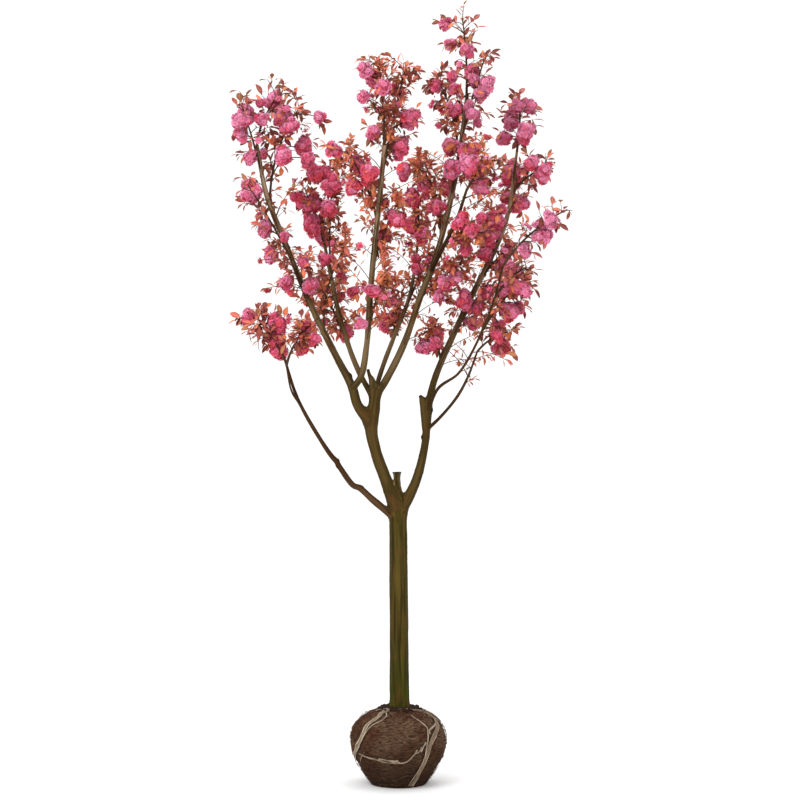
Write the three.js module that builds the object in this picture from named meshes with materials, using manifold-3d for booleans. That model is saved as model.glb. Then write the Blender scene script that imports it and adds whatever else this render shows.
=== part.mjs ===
// A young flowering cherry as a nursery lifts it: a clear stem on a tied root ball, a few pruned
// boughs, and open sprays of double blossom and young leaves along their upper ends.
// Millimetres, +Z up, the front of the tree towards -Y.
// The origin is the centre of the root ball's flat underside.

import * as THREE from "three";
import { mergeVertices } from "three/addons/utils/BufferGeometryUtils.js";
import Module from "manifold-3d";

const wasm = await Module();
wasm.setup();

// Driving dimensions

const GAP = 0.3; // clearance where one piece meets the next
const CLEAR = 2; // least room between a spray and whatever is not its own
const MERGE = 1e-4; // points nearer than this are one point

const BALL = {
  height: 392, // underside to the small disc that the trunk stands on
  waistHeight: 235,
  footRadius: 143, // flat underside
  waistRadius: 252,
  topRadius: 60,
  segments: 24,
  lowerRings: 3,
  upperRings: 5,
  lumps: [{ waves: 2, phase: 1, depth: 0.02 }, { waves: 3, phase: 0.5, depth: 0.015 }],
};

const STRAP = { thick: 3, sunk: 8, steps: 8 };

// Bast straps over the ball: routes as [degrees round from the front, height].
const STRAPS = [
  {
    name: "strap_left",
    width: 28,
    route: [[-44, 388], [-38, 368], [-47, 328], [-49, 285], [-54, 232], [-70, 165], [-92, 80]],
  },
  {
    name: "strap_right",
    width: 28,
    route: [[50, 389], [70, 375], [70, 345], [56, 300], [42, 256], [36, 190], [31, 93], [24, 12]],
  },
  { name: "strap_shoulder", width: 24, route: [[98, 384], [96, 340], [92, 280], [92, 235], [98, 150]] },
  {
    name: "strap_front",
    width: 14,
    route: [[-56, 176], [-45, 172], [-28, 160], [-13, 148], [-2, 146], [9, 154], [18, 185], [22, 215]],
  },
  { name: "strap_back_left", width: 28, route: [[-140, 387], [-138, 300], [-146, 170], [-150, 12]] },
  { name: "strap_back_right", width: 28, route: [[140, 387], [136, 300], [130, 170], [124, 12]] },
];

// Trunk and boughs: stations along each axis as [x, y, z, radius].
// A limb starts inside the one that carries it and is cut back clear of every limb above it in the list.
const LIMBS = [
  {
    name: "trunk",
    sides: 12,
    stations: [
      [5, 0, BALL.height + GAP, 58], [5, 0, 440, 51], [2, 0, 900, 48], [-2, 0, 1370, 46],
      [-4, 0, 1470, 34], [-6, 0, 1545, 18.5], [-7, 0, 1585, 16], [-8, 0, 1618, 21],
    ],
  },
  {
    name: "bough_left",
    sides: 9,
    stations: [
      [-8, 0, 1420, 40], [-72, 5, 1595, 31], [-120, 10, 1730, 29],
      [-142, 15, 1845, 33.5], [-129, 20, 1945, 34], [-118, 25, 2050, 24],
    ],
  },
  {
    name: "bough_right",
    sides: 7,
    stations: [
      [12, 0, 1410, 30], [89, 18, 1565, 24], [140, 45, 1770, 20], [150, 65, 1915, 23],
      [190, 88, 2100, 17], [330, 135, 2425, 15.5], [568, 205, 2935, 13], [630, 250, 3310, 6.5],
    ],
  },
  {
    name: "bough_low_left",
    sides: 6,
    stations: [
      [-8, 0, 1372, 21], [-130, -32, 1473, 17.5], [-200, -48, 1536, 16], [-234, -58, 1551, 15.5],
      [-297, -75, 1637, 14.5], [-319, -83, 1673, 14], [-357, -95, 1720, 12.5], [-512, -155, 1990, 8.5],
      [-582, -200, 2205, 6.5],
    ],
  },
  {
    name: "bough_left_outer",
    sides: 7,
    stations: [
      [-153, 10, 1885, 31], [-215, 15, 1970, 25], [-240, 25, 2055, 23], [-325, 35, 2220, 18],
      [-468, 55, 2510, 15], [-590, 75, 2810, 14.5], [-690, 95, 3060, 13], [-744, 110, 3330, 9.5],
    ],
  },
  {
    name: "bough_crown",
    sides: 7,
    stations: [
      [-115, 20, 2015, 20], [-60, 25, 2105, 18.5], [25, 25, 2275, 17], [121, 35, 2550, 16.5],
      [190, 40, 2720, 16], [300, 50, 3170, 14], [355, 60, 3560, 9],
    ],
  },
  {
    name: "bough_centre",
    sides: 7,
    stations: [
      [-240, 10, 2050, 17], [-195, -15, 2115, 17], [-165, -65, 2275, 15.5],
      [-140, -160, 2590, 15], [-95, -295, 3010, 13.5], [-70, -380, 3270, 10.5],
    ],
  },
  {
    name: "bough_back_left",
    sides: 6,
    stations: [
      [-135, 25, 2010, 16], [-205, 95, 2135, 14.5], [-260, 165, 2270, 14],
      [-320, 260, 2465, 13], [-400, 430, 2830, 9.5],
    ],
  },
  {
    name: "bough_back_right",
    sides: 6,
    stations: [
      [-120, 25, 2045, 13], [-85, 90, 2160, 13], [-25, 180, 2325, 12],
      [60, 300, 2550, 10.5], [100, 430, 2805, 7.5],
    ],
  },
  {
    name: "crown_side",
    sides: 6,
    stations: [[155, 45, 2640, 11], [215, -35, 2750, 10.5], [300, -160, 2920, 9], [345, -260, 3055, 6.5]],
  },
  {
    name: "bough_right_front",
    sides: 6,
    stations: [
      [150, 64, 1920, 9], [205, 5, 2050, 8], [310, -90, 2130, 7],
      [400, -200, 2285, 6], [480, -305, 2490, 5], [525, -390, 2665, 4],
    ],
  },
  {
    name: "bough_right_low",
    sides: 6,
    stations: [
      [147, 55, 1835, 9], [215, 20, 1900, 8.5], [305, -35, 2010, 7.5],
      [360, -80, 2115, 6.5], [405, -110, 2240, 5],
    ],
  },
  {
    name: "low_left_fork",
    sides: 6,
    stations: [[-505, -150, 1970, 6], [-545, -180, 2035, 5], [-570, -230, 2165, 4]],
  },
  {
    name: "stub_hub",
    sides: 6,
    stations: [[-132, 22, 2020, 20], [-138, 18, 2095, 17], [-150, 14, 2120, 10], [-159, 10, 2152, 7]],
  },
  {
    name: "stub_right",
    sides: 6,
    stations: [[146, 60, 1850, 18], [138, 62, 1932, 23], [127, 66, 1990, 19], [112, 62, 2016, 6]],
  },
];
const STEPS_PER_SPAN = 2; // rings between two stations

// How a spray grows: shares are of its stem's length or of its reach, tilts are degrees off the stem.
const STEM = { radius: [6, 3.5], sides: 3, steps: 4 };
const SPUR = { from: 0.1, over: 0.85, tilt: [35, 95], length: [0.35, 1.1] };
const RISE = 0.2; // how far spurs turn up to the light
const SHANK = { radius: 4, beyond: 2.2 }; // a spur longer than this many head radii has a bare shank
const HEAD = { radius: [38, 66], sides: 5, ring: 0.9, belt: 0.36, cone: 1.3 }; // shares of a head's radius
const LEAF = { length: [66, 96], width: 0.38, thick: 0.035, tries: 6 };
const HEAD_LEAF = { count: 2, tilt: [30, 115], hold: 0.5 };
const TIP_LEAF = { count: 2, tilt: [5, 45], spacing: 8 };
const GOLDEN = 137.5; // degrees from one leaf to the next

// Where the seeded numbers for each choice begin.
const DRAW = {
  place: 100,
  turn: 200,
  tilt: 300,
  length: 400,
  radius: 700,
  headLeaf: 800,
  perHead: 20,
  tipLeaf: 1010,
};

const CROWN = { left: -890, right: 850, top: 4090 }; // no leaf tip goes beyond these

// Sprays, by the limb that carries them: where along it (1 is the tip), the stem's tip, and what grows on it.
const SPRAYS = {
  bough_right: [
    { name: "right_top", at: 1, tip: [660, 390, 3590], heads: 5, reach: 105, seed: 3885 },
    { name: "right_upper", at: 0.91, tip: [775, 195, 3225], heads: 3, reach: 160, seed: 3633 },
    { name: "right_back", at: 0.86, tip: [635, 500, 3160], heads: 3, reach: 80, seed: 515 },
    { name: "right_mid", at: 0.82, tip: [500, 65, 2980], heads: 3, reach: 105, seed: 1679 },
    { name: "right_fill", at: 0.77, tip: [590, 125, 2805], heads: 3, reach: 80, seed: 4595 },
    { name: "right_inner", at: 0.67, tip: [455, -75, 2585], heads: 4, reach: 80, seed: 832 },
    { name: "right_low_left", at: 0.61, tip: [165, 65, 2350], heads: 3, reach: 80, seed: 4826 },
  ],
  bough_low_left: [
    { name: "left_low", at: 1, tip: [-735, -135, 2420], heads: 5, reach: 105, seed: 3847 },
  ],
  bough_left_outer: [
    { name: "left_shoulder", at: 0.83, tip: [-520, 150, 3540], heads: 5, reach: 160, seed: 1342 },
    { name: "left_top", at: 1, tip: [-615, 215, 3630], heads: 4, reach: 130, seed: 3807 },
    { name: "left_top_outer", at: 0.91, tip: [-820, 30, 3540], heads: 3, reach: 80, seed: 884 },
    { name: "left_flank", at: 0.65, tip: [-780, -70, 3105], heads: 3, reach: 160, seed: 4579 },
    { name: "left_lower_inner", at: 0.56, tip: [-575, -60, 2755], heads: 3, reach: 160, seed: 1121 },
    { name: "left_mid", at: 0.49, tip: [-275, 80, 2800], heads: 3, reach: 160, seed: 997 },
  ],
  bough_crown: [
    { name: "crown_top", at: 1, tip: [335, 95, 3995], heads: 5, reach: 105, seed: 4021 },
    { name: "crown_top_right", at: 0.9, tip: [450, -30, 3770], heads: 3, reach: 80, seed: 1085 },
    { name: "crown_top_left", at: 0.87, tip: [200, 195, 3710], heads: 3, reach: 130, seed: 2172 },
    { name: "crown_mid", at: 0.79, tip: [325, -160, 3345], heads: 3, reach: 80, seed: 1060 },
    { name: "crown_inner", at: 0.71, tip: [115, 345, 3255], heads: 3, reach: 130, seed: 1293 },
    { name: "crown_low", at: 0.47, tip: [325, -60, 2695], heads: 3, reach: 105, seed: 3010 },
  ],
  bough_centre: [
    { name: "centre_left", at: 0.74, tip: [-255, -395, 3230], heads: 4, reach: 160, seed: 3021 },
    { name: "centre_top", at: 1, tip: [-100, -445, 3660], heads: 5, reach: 160, seed: 422 },
    { name: "centre_top_right", at: 0.84, tip: [35, -275, 3670], heads: 4, reach: 130, seed: 3639 },
    { name: "centre_mid", at: 0.63, tip: [5, -280, 3010], heads: 3, reach: 160, seed: 4213 },
    { name: "centre_low", at: 0.43, tip: [-55, -405, 2640], heads: 2, reach: 160, seed: 2929 },
  ],
  bough_back_left: [
    { name: "left_inner", at: 1, tip: [-510, 410, 3140], heads: 3, reach: 80, seed: 1502 },
    { name: "left_back", at: 0.88, tip: [-345, 385, 3265], heads: 4, reach: 160, seed: 3715 },
    { name: "back_left_low", at: 0.46, tip: [-430, 470, 2635], heads: 3, reach: 160, seed: 2348 },
  ],
  bough_back_right: [
    { name: "back_right_low", at: 0.46, tip: [-20, 350, 2550], heads: 3, reach: 80, seed: 2803 },
    { name: "back_right_mid", at: 0.68, tip: [180, 340, 2790], heads: 2, reach: 105, seed: 2438 },
    { name: "back_right_top", at: 1, tip: [100, 555, 3280], heads: 4, reach: 80, seed: 4417 },
  ],
  crown_side: [
    { name: "crown_side_tip", at: 1, tip: [455, -215, 3210], heads: 3, reach: 105, seed: 3871 },
    { name: "crown_side_low", at: 0.42, tip: [425, -265, 2840], heads: 3, reach: 105, seed: 3316 },
  ],
  bough_right_front: [
    { name: "right_tip", at: 1, tip: [840, -455, 2940], heads: 3, reach: 80, seed: 3397 },
    { name: "right_outer", at: 0.82, tip: [655, -210, 2670], heads: 3, reach: 80, seed: 418 },
    { name: "right_outer_low", at: 0.66, tip: [620, -100, 2595], heads: 3, reach: 130, seed: 2915 },
  ],
  bough_right_low: [
    { name: "right_low", at: 1, tip: [545, -60, 2335], heads: 2, reach: 130, seed: 3411 },
  ],
  low_left_fork: [
    { name: "left_low_inner", at: 1, tip: [-405, -235, 2410], heads: 3, reach: 80, seed: 2135 },
  ],
};

// Finishes

const FINISHES = {
  bark: { color: 0x54482a, roughness: 0.8 },
  soil: { color: 0x50392a, roughness: 0.95 },
  bast: { color: 0xb9a98c, roughness: 0.85 },
  blossom: { color: 0xd2588f, roughness: 0.7 },
};

// Solids

// Keeps a geometry's points and triangles only, and makes points that coincide one point.
function joined(geometry) {
  geometry.deleteAttribute("normal");
  geometry.deleteAttribute("uv");
  return mergeVertices(geometry, MERGE);
}

// Moves every point of a geometry to the place worked out from its coordinates.
function warped(geometry, place) {
  const points = geometry.getAttribute("position");
  for (let i = 0; i < points.count; i += 1) {
    const moved = place(points.getX(i), points.getY(i), points.getZ(i));
    points.setXYZ(i, moved.x, moved.y, moved.z);
  }
  return geometry;
}

// A solid to join and cut, from a geometry whose points are joined.
function solidOf(geometry) {
  const corners = geometry.getIndex().array;
  const kept = [];
  for (let i = 0; i < corners.length; i += 3) {
    const [a, b, c] = corners.slice(i, i + 3);
    if (a !== b && b !== c && c !== a) kept.push(a, b, c);
  }
  const vertProperties = geometry.getAttribute("position").array;
  return new wasm.Manifold(new wasm.Mesh({ numProp: 3, vertProperties, triVerts: Uint32Array.from(kept) }));
}

// The largest body of a solid: scraps that a cut leaves and hollows that a join seals are dropped.
function largestBody(solid) {
  const bodies = solid.decompose();
  return bodies.reduce((largest, body) => (body.volume() > largest.volume() ? body : largest));
}

// A named mesh from a finished solid.
function meshOf(name, solid, finish) {
  const { numProp, vertProperties, triVerts } = solid.getMesh();
  const geometry = new THREE.BufferGeometry();
  geometry.setAttribute("position", new THREE.BufferAttribute(Float32Array.from(vertProperties), numProp));
  geometry.setIndex(new THREE.BufferAttribute(Uint32Array.from(triVerts), 1));
  geometry.computeVertexNormals();
  const mesh = new THREE.Mesh(geometry, new THREE.MeshStandardMaterial(finish));
  mesh.name = name;
  return mesh;
}

// Numbers and directions

const ACROSS = new THREE.Vector3(1, 0, 0);
const DEEP = new THREE.Vector3(0, 1, 0);
const UP = new THREE.Vector3(0, 0, 1);
const LEVEL_LIMIT = 0.9;

// A number from 0 to 1 that depends only on a seed and a count.
function chance(seed, count) {
  const wave = Math.sin(seed * 12.9898 + count * 78.233) * 43758.5453;
  return wave - Math.floor(wave);
}

const between = ([low, high], share) => THREE.MathUtils.lerp(low, high, share);

// Two directions square to a given one and to each other.
function squareTo(along) {
  const guide = Math.abs(along.y) < LEVEL_LIMIT ? DEEP : ACROSS;
  const side = along.clone().cross(guide).normalize();
  return { side, back: along.clone().cross(side) };
}

// A direction that leans off another by a tilt, turned round it; both in degrees.
function leaning(along, tilt, turn) {
  const { side, back } = squareTo(along);
  const lean = THREE.MathUtils.degToRad(tilt);
  const round = THREE.MathUtils.degToRad(turn);
  return along
    .clone()
    .multiplyScalar(Math.cos(lean))
    .addScaledVector(side, Math.sin(lean) * Math.cos(round))
    .addScaledVector(back, Math.sin(lean) * Math.sin(round));
}

// A tapering tube: the rings of a cylinder carried along a curve. Grow makes it larger all round.
function tube(curve, radiusAt, sides, steps, grow = 0) {
  const cylinder = joined(new THREE.CylinderGeometry(1, 1, 1, sides, steps));
  return solidOf(
    warped(cylinder, (x, y, z) => {
      const share = THREE.MathUtils.clamp(y + 0.5, 0, 1);
      const along = curve.getTangent(share);
      const { side, back } = squareTo(along);
      const radius = radiusAt(share) + grow;
      const endwise = share === 0 ? -grow : share === 1 ? grow : 0;
      return curve
        .getPoint(share)
        .addScaledVector(along, endwise)
        .addScaledVector(side, x * radius)
        .addScaledVector(back, -z * radius);
    }),
  );
}

// Root ball and straps

// Radius of the ball at a height: a quarter sine up to the waist, a quarter ellipse above, with low lumps.
function ballRadius(angle, height) {
  const swells = BALL.lumps.map(({ waves, phase, depth }) => depth * Math.sin(waves * angle + phase));
  const lump = swells.reduce((sum, swell) => sum + swell, 1);
  if (height <= BALL.waistHeight) {
    const swell = Math.sin((height / BALL.waistHeight) * (Math.PI / 2));
    return BALL.footRadius + (BALL.waistRadius - BALL.footRadius) * swell * lump;
  }
  const share = Math.min((height - BALL.waistHeight) / (BALL.height - BALL.waistHeight), 1);
  return BALL.topRadius + (BALL.waistRadius - BALL.topRadius) * Math.sqrt(1 - share * share) * lump;
}

function ballPoint(angle, height) {
  const radius = ballRadius(angle, height);
  return new THREE.Vector3(radius * Math.sin(angle), -radius * Math.cos(angle), height);
}

function ballSolid(grow = 0) {
  const heights = [];
  for (let ring = 0; ring <= BALL.lowerRings; ring += 1) {
    heights.push((BALL.waistHeight * ring) / BALL.lowerRings);
  }
  for (let ring = 1; ring <= BALL.upperRings; ring += 1) {
    const rise = Math.sin((ring / BALL.upperRings) * (Math.PI / 2));
    heights.push(BALL.waistHeight + (BALL.height - BALL.waistHeight) * rise);
  }
  const rim = heights.map((height) => new THREE.Vector2(1, height));
  const profile = [new THREE.Vector2(0, 0), ...rim, new THREE.Vector2(0, BALL.height)];
  const lathe = joined(new THREE.LatheGeometry(profile, BALL.segments).rotateX(Math.PI / 2));
  return solidOf(
    warped(lathe, (x, y, z) => {
      const angle = Math.atan2(x, -y);
      const spread = Math.hypot(x, y);
      const radius = spread > 0.5 ? ballRadius(angle, z) + grow : 0;
      const lift = grow * Math.sign(z - BALL.waistHeight);
      return new THREE.Vector3(radius * Math.sin(angle), -radius * Math.cos(angle), z + lift);
    }),
  );
}

// A flat strap laid on the ball along its route, then cut clear of the ball.
function strapSolid({ width, route }, ball) {
  const NUDGE = 1e-3;
  const turns = route.map(([angle, height]) => new THREE.Vector3(angle, height, 0));
  const path = new THREE.CatmullRomCurve3(turns);
  const onBall = (share) => {
    const { x, y } = path.getPoint(share);
    return ballPoint(THREE.MathUtils.degToRad(x), y);
  };
  const strip = joined(new THREE.BoxGeometry(1, 1, 1, STRAP.steps, 1, 1));
  const solid = solidOf(
    warped(strip, (x, y, z) => {
      const share = THREE.MathUtils.clamp(x + 0.5, 0, 1);
      const { x: degrees, y: height } = path.getPoint(share);
      const angle = THREE.MathUtils.degToRad(degrees);
      const round = ballPoint(angle + NUDGE, height).sub(ballPoint(angle - NUDGE, height));
      const rise = ballPoint(angle, height + NUDGE).sub(ballPoint(angle, height - NUDGE));
      const out = round.cross(rise).normalize();
      const along = onBall(Math.min(share + NUDGE, 1)).sub(onBall(Math.max(share - NUDGE, 0))).normalize();
      const over = out.clone().cross(along).normalize();
      return onBall(share)
        .addScaledVector(over, y * width)
        .addScaledVector(out, z > 0 ? STRAP.thick : -STRAP.sunk);
    }),
  );
  return largestBody(solid.subtract(ball));
}

// Trunk and boughs

class Limb {
  constructor({ name, sides, stations }) {
    this.name = name;
    this.sides = sides;
    this.radii = stations.map((station) => station[3]);
    this.steps = (stations.length - 1) * STEPS_PER_SPAN;
    this.curve = new THREE.CatmullRomCurve3(stations.map(([x, y, z]) => new THREE.Vector3(x, y, z)));
  }

  radiusAt(share) {
    const last = this.radii.length - 1;
    const span = Math.min(Math.floor(share * last), last - 1);
    return between([this.radii[span], this.radii[span + 1]], share * last - span);
  }

  solid(grow = 0) {
    return tube(this.curve, (share) => this.radiusAt(share), this.sides, this.steps, grow);
  }
}

const limbs = LIMBS.map((size) => new Limb(size));

// Each limb's solid, cut back clear of those above it in the list.
function limbSolids() {
  const solids = [];
  limbs.forEach((limb, place) => {
    const earlier = limbs.slice(0, place);
    solids.push(largestBody(earlier.reduce((left, other) => left.subtract(other.solid(GAP)), limb.solid())));
  });
  return solids;
}

// Room that each piece takes: a line with a radius round it, its node and the part it belongs to.
const taken = [];

function take(owner, part, start, end, radius) {
  taken.push({ owner, part, line: new THREE.Line3(start.clone(), end.clone()), radius });
}

function isFree(start, end, radius, mayTouch) {
  const line = new THREE.Line3(start, end);
  return taken.every((other) => {
    if (mayTouch(other)) return true;
    const room = radius + other.radius + CLEAR;
    return line.distanceSqToLine3(other.line) >= room * room;
  });
}

function takeLimbs() {
  for (const limb of limbs) {
    for (let step = 0; step < limb.steps; step += 1) {
      const [low, high] = [step / limb.steps, (step + 1) / limb.steps];
      const radius = Math.max(limb.radiusAt(low), limb.radiusAt(high));
      take(limb.name, limb, limb.curve.getPoint(low), limb.curve.getPoint(high), radius);
    }
  }
}

// Sprays

class Spray {
  constructor(size) {
    Object.assign(this, size);
    this.carrier = limbs.find((limb) => limb.name === this.limb);
    const start = this.carrier.curve.getPoint(this.at);
    const tip = new THREE.Vector3(...this.tip);
    const onward = tip.clone().sub(start).normalize();
    const lead = this.carrier.curve.getTangent(this.at).add(onward).normalize();
    lead.multiplyScalar(start.distanceTo(tip) / 2).add(start);
    this.stem = new THREE.QuadraticBezierCurve3(start, lead, tip);
    this.bearers = [];
    this.pieces = [tube(this.stem, (share) => between(STEM.radius, share), STEM.sides, STEM.steps)];
  }

  // A spur off the stem: its foot, its end and its direction.
  spur(share, tilt, turn, length) {
    const foot = this.stem.getPoint(share);
    const out = leaning(this.stem.getTangent(share), tilt, turn).addScaledVector(UP, RISE).normalize();
    return { foot, end: foot.clone().addScaledVector(out, length), out };
  }

  takeStem() {
    for (let step = 0; step < STEM.steps; step += 1) {
      const [low, high] = [step / STEM.steps, (step + 1) / STEM.steps];
      take(this.name, this.stem, this.stem.getPoint(low), this.stem.getPoint(high), STEM.radius[0]);
    }
  }

  // A blossom head turned in one piece: it opens from the stem, or from a bare shank, and closes in a dome.
  addHead(spur, radius) {
    const { foot, end, out } = spur;
    const length = foot.distanceTo(end);
    const [wide, belt] = [radius * HEAD.ring, radius * HEAD.belt];
    const shank = [[SHANK.radius, 0], [SHANK.radius, length - radius * HEAD.cone]];
    const bare = length > radius * SHANK.beyond ? shank : [];
    const profile = [[0, 0], ...bare, [wide, length - belt], [wide, length + belt], [0, length + radius]];
    const rim = profile.map(([x, y]) => new THREE.Vector2(x, y));
    const head = joined(new THREE.LatheGeometry(rim, HEAD.sides));
    const { side, back } = squareTo(out);
    head.applyMatrix4(new THREE.Matrix4().makeBasis(side, out, back.negate()));
    this.pieces.push(solidOf(head.translate(foot.x, foot.y, foot.z)));
    take(this.name, spur, foot, end, SHANK.radius);
    take(this.name, spur, end, end, radius);
  }

  // A leaf: a kite with a raised midrib, its root sunk in the part that bears it. A leaf of the stem may
  // stand among the heads of its own spray. Returns whether there was room for the leaf.
  addLeaf(part, root, along, draw) {
    const length = between(LEAF.length, chance(this.seed, draw));
    const halves = [length / 2, (length * LEAF.width) / 2, (length * LEAF.thick) / 2];
    const tip = root.clone().addScaledVector(along, length);
    const isInside = tip.x > CROWN.left && tip.x < CROWN.right && tip.z < CROWN.top;
    const isOwn = (other) => other.part === part || (part === this.stem && other.owner === this.name);
    if (!isInside || !isFree(root, tip, halves[1], isOwn)) return false;
    const { side, back } = squareTo(along);
    const middle = root.clone().lerp(tip, 0.5);
    const kite = joined(new THREE.TetrahedronGeometry(Math.sqrt(3)));
    warped(kite, (x, y, z) =>
      middle
        .clone()
        .addScaledVector(along, (halves[0] * (x + y)) / 2)
        .addScaledVector(side, (halves[1] * (y - x)) / 2)
        .addScaledVector(back, halves[2] * z),
    );
    this.pieces.push(solidOf(kite));
    take(this.name, part, root, tip, halves[1]);
    return true;
  }

  // Leaves that lean off a direction, each turned on from the last by the golden angle; those with no room
  // are left out. The place of a root is worked out from the leaf's direction and its count.
  addLeaves(part, along, { count, tilt }, draw, rootAt) {
    let added = 0;
    for (let leaf = 0; leaf < LEAF.tries && added < count; leaf += 1) {
      const lean = between(tilt, chance(this.seed, draw + leaf));
      const towards = leaning(along, lean, 360 * chance(this.seed, draw) + GOLDEN * leaf);
      if (this.addLeaf(part, rootAt(towards, leaf), towards, draw + LEAF.tries + leaf)) added += 1;
    }
  }

  // Blossom heads on spurs along the stem.
  bloom() {
    const { seed } = this;
    for (let head = 0; head < this.heads; head += 1) {
      const share = SPUR.from + (SPUR.over * (head + chance(seed, DRAW.place + head))) / this.heads;
      const tilt = between(SPUR.tilt, chance(seed, DRAW.tilt + head));
      const length = this.reach * between(SPUR.length, chance(seed, DRAW.length + head));
      const spur = this.spur(share, tilt, 360 * chance(seed, DRAW.turn + head), length);
      const radius = between(HEAD.radius, chance(seed, DRAW.radius + head));
      if (!isFree(spur.end, spur.end, radius, (other) => other.owner === this.name)) continue;
      this.addHead(spur, radius);
      this.bearers.push({ spur, radius });
    }
  }

  // Young leaves that stand out of the heads, and more at the stem's tip.
  leaf() {
    this.bearers.forEach(({ spur, radius }, head) => {
      const onHead = (towards) => spur.end.clone().addScaledVector(towards, radius * HEAD_LEAF.hold);
      this.addLeaves(spur, spur.out, HEAD_LEAF, DRAW.headLeaf + DRAW.perHead * head, onHead);
    });
    const along = this.stem.getTangent(1);
    const onStem = (_, leaf) => this.stem.getPoint(1).addScaledVector(along, -TIP_LEAF.spacing * (leaf + 1));
    this.addLeaves(this.stem, along, TIP_LEAF, DRAW.tipLeaf, onStem);
  }

  // All pieces fused to one body, with its foot cut clear of the limb that carries it.
  solid() {
    const fused = this.pieces.reduce((whole, piece) => whole.add(piece));
    return largestBody(fused.subtract(this.carrier.solid(GAP)));
  }
}

// Assembly

const tree = new THREE.Group();

const rootGroup = new THREE.Group();
rootGroup.add(meshOf("root_ball", ballSolid(), FINISHES.soil));
const grownBall = ballSolid(GAP);
for (const strap of STRAPS) rootGroup.add(meshOf(strap.name, strapSolid(strap, grownBall), FINISHES.bast));

const frameGroup = new THREE.Group();
limbSolids().forEach((solid, place) => frameGroup.add(meshOf(limbs[place].name, solid, FINISHES.bark)));

const crownGroup = new THREE.Group();
takeLimbs();
const sprays = Object.entries(SPRAYS).flatMap(([limb, sizes]) =>
  sizes.map((size) => new Spray({ limb, ...size })),
);
sprays.forEach((spray) => spray.takeStem());
sprays.forEach((spray) => spray.bloom());
sprays.forEach((spray) => spray.leaf());
for (const spray of sprays) crownGroup.add(meshOf(`spray_${spray.name}`, spray.solid(), FINISHES.blossom));

tree.add(rootGroup, frameGroup, crownGroup);

export default tree;
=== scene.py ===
"""Looks of a young flowering cherry on its root ball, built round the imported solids.

Tables are in millimetres and degrees, meshes in metres, in the frame of the solids: Z is up, the front looks
towards -Y, and the ball's underside lies at Z = 0. Sprays grow by the rule of the solids, on to finer twigs.
"""
import logging
from collections.abc import Sequence
from dataclasses import dataclass, field
from enum import Enum, IntEnum

import bpy
import numpy as np
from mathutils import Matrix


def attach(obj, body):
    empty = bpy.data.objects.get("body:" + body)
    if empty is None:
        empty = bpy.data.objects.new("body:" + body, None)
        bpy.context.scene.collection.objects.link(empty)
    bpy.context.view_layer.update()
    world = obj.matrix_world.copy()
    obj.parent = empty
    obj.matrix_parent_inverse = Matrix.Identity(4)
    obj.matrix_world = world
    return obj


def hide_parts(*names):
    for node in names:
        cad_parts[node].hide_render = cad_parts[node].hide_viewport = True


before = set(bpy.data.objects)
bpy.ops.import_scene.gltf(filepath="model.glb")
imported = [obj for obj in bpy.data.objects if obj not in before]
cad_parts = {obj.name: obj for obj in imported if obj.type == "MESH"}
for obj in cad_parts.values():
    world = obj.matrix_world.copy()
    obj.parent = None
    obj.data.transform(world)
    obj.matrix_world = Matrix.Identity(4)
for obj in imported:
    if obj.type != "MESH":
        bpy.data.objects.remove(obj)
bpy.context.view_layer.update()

LOG = logging.getLogger("cherry")
MM = 0.001
TURN = 2.0 * np.pi
GOLDEN = np.radians(137.5)
CELL_KEYS = np.array((73856093, 19349663, 83492791))  # whole numbers that hash a cell of the noise
SEED_KEY, MIX_KEY, ALL_BITS = 2654435, 1274126177, 0xFFFFFFFF
THIN_SHARE = 0.9  # below 1, so that a turned normal stays on its sheet's own side
AXIS_X, AXIS_Y, AXIS_Z = np.eye(3)
EYE = np.array((0.008, -10.5, 1.992))  # where the photograph was taken from
Array = np.ndarray
Colour = tuple[int, int, int]
Span = tuple[float, float]
Triple = tuple[float, float, float]
Material = bpy.types.Material
Node = bpy.types.Node
Socket = bpy.types.NodeSocket
Tree = bpy.types.NodeTree


# Numbers and noise


def unit(vectors: Array) -> Array:
    """Each vector divided by its length."""
    return vectors / np.maximum(np.linalg.norm(vectors, axis=-1, keepdims=True), 1e-9)


def drawn(places: Array) -> Array:
    """Where places are seen from the front: across and up the trunk's plane, on the line from the eye."""
    share = EYE[1] / (EYE[1] - places[..., 1])
    return EYE[[0, 2]] + (places[..., [0, 2]] - EYE[[0, 2]]) * share[..., None]


def chance(seed: float, draw: Array | float) -> Array:
    """Seeded number from 0 to 1, as in the solids: the fraction left of a very large sine wave."""
    wave = np.sin(seed * 12.9898 + np.asarray(draw, float) * 78.233) * 43758.5453
    return wave - np.floor(wave)


def lattice_noise(points: Array, seed: int) -> Array:
    """Smooth noise: each whole-number corner has a hashed value, and a point blends its cell's eight corners.

    Args:
        points: places, with three numbers along the last axis.
        seed: which field of values to read.

    Returns:
        One number from -1 to 1 for each place.
    """
    cells = np.floor(points).astype(np.int64)
    share = points - cells
    share = share * share * (3.0 - 2.0 * share)
    total = np.zeros(points.shape[:-1])
    for corner in np.ndindex(2, 2, 2):
        keys = (cells + corner) * CELL_KEYS
        mixed = keys[..., 0] ^ keys[..., 1] ^ keys[..., 2] ^ (seed * SEED_KEY)
        mixed = ((mixed ^ (mixed >> 13)) * MIX_KEY) & ALL_BITS
        mixed ^= mixed >> 15
        total += np.prod(np.where(corner, share, 1.0 - share), axis=-1) * mixed
    return 2.0 * total / ALL_BITS - 1.0


def layered_noise(points: Array, seed: int, layers: int = 3) -> Array:
    """Lattice noise summed in layers, each twice as fine and half as strong as the last."""
    return sum(lattice_noise(points * 2.0**k, seed + k) * 0.5**k for k in range(layers))


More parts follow.
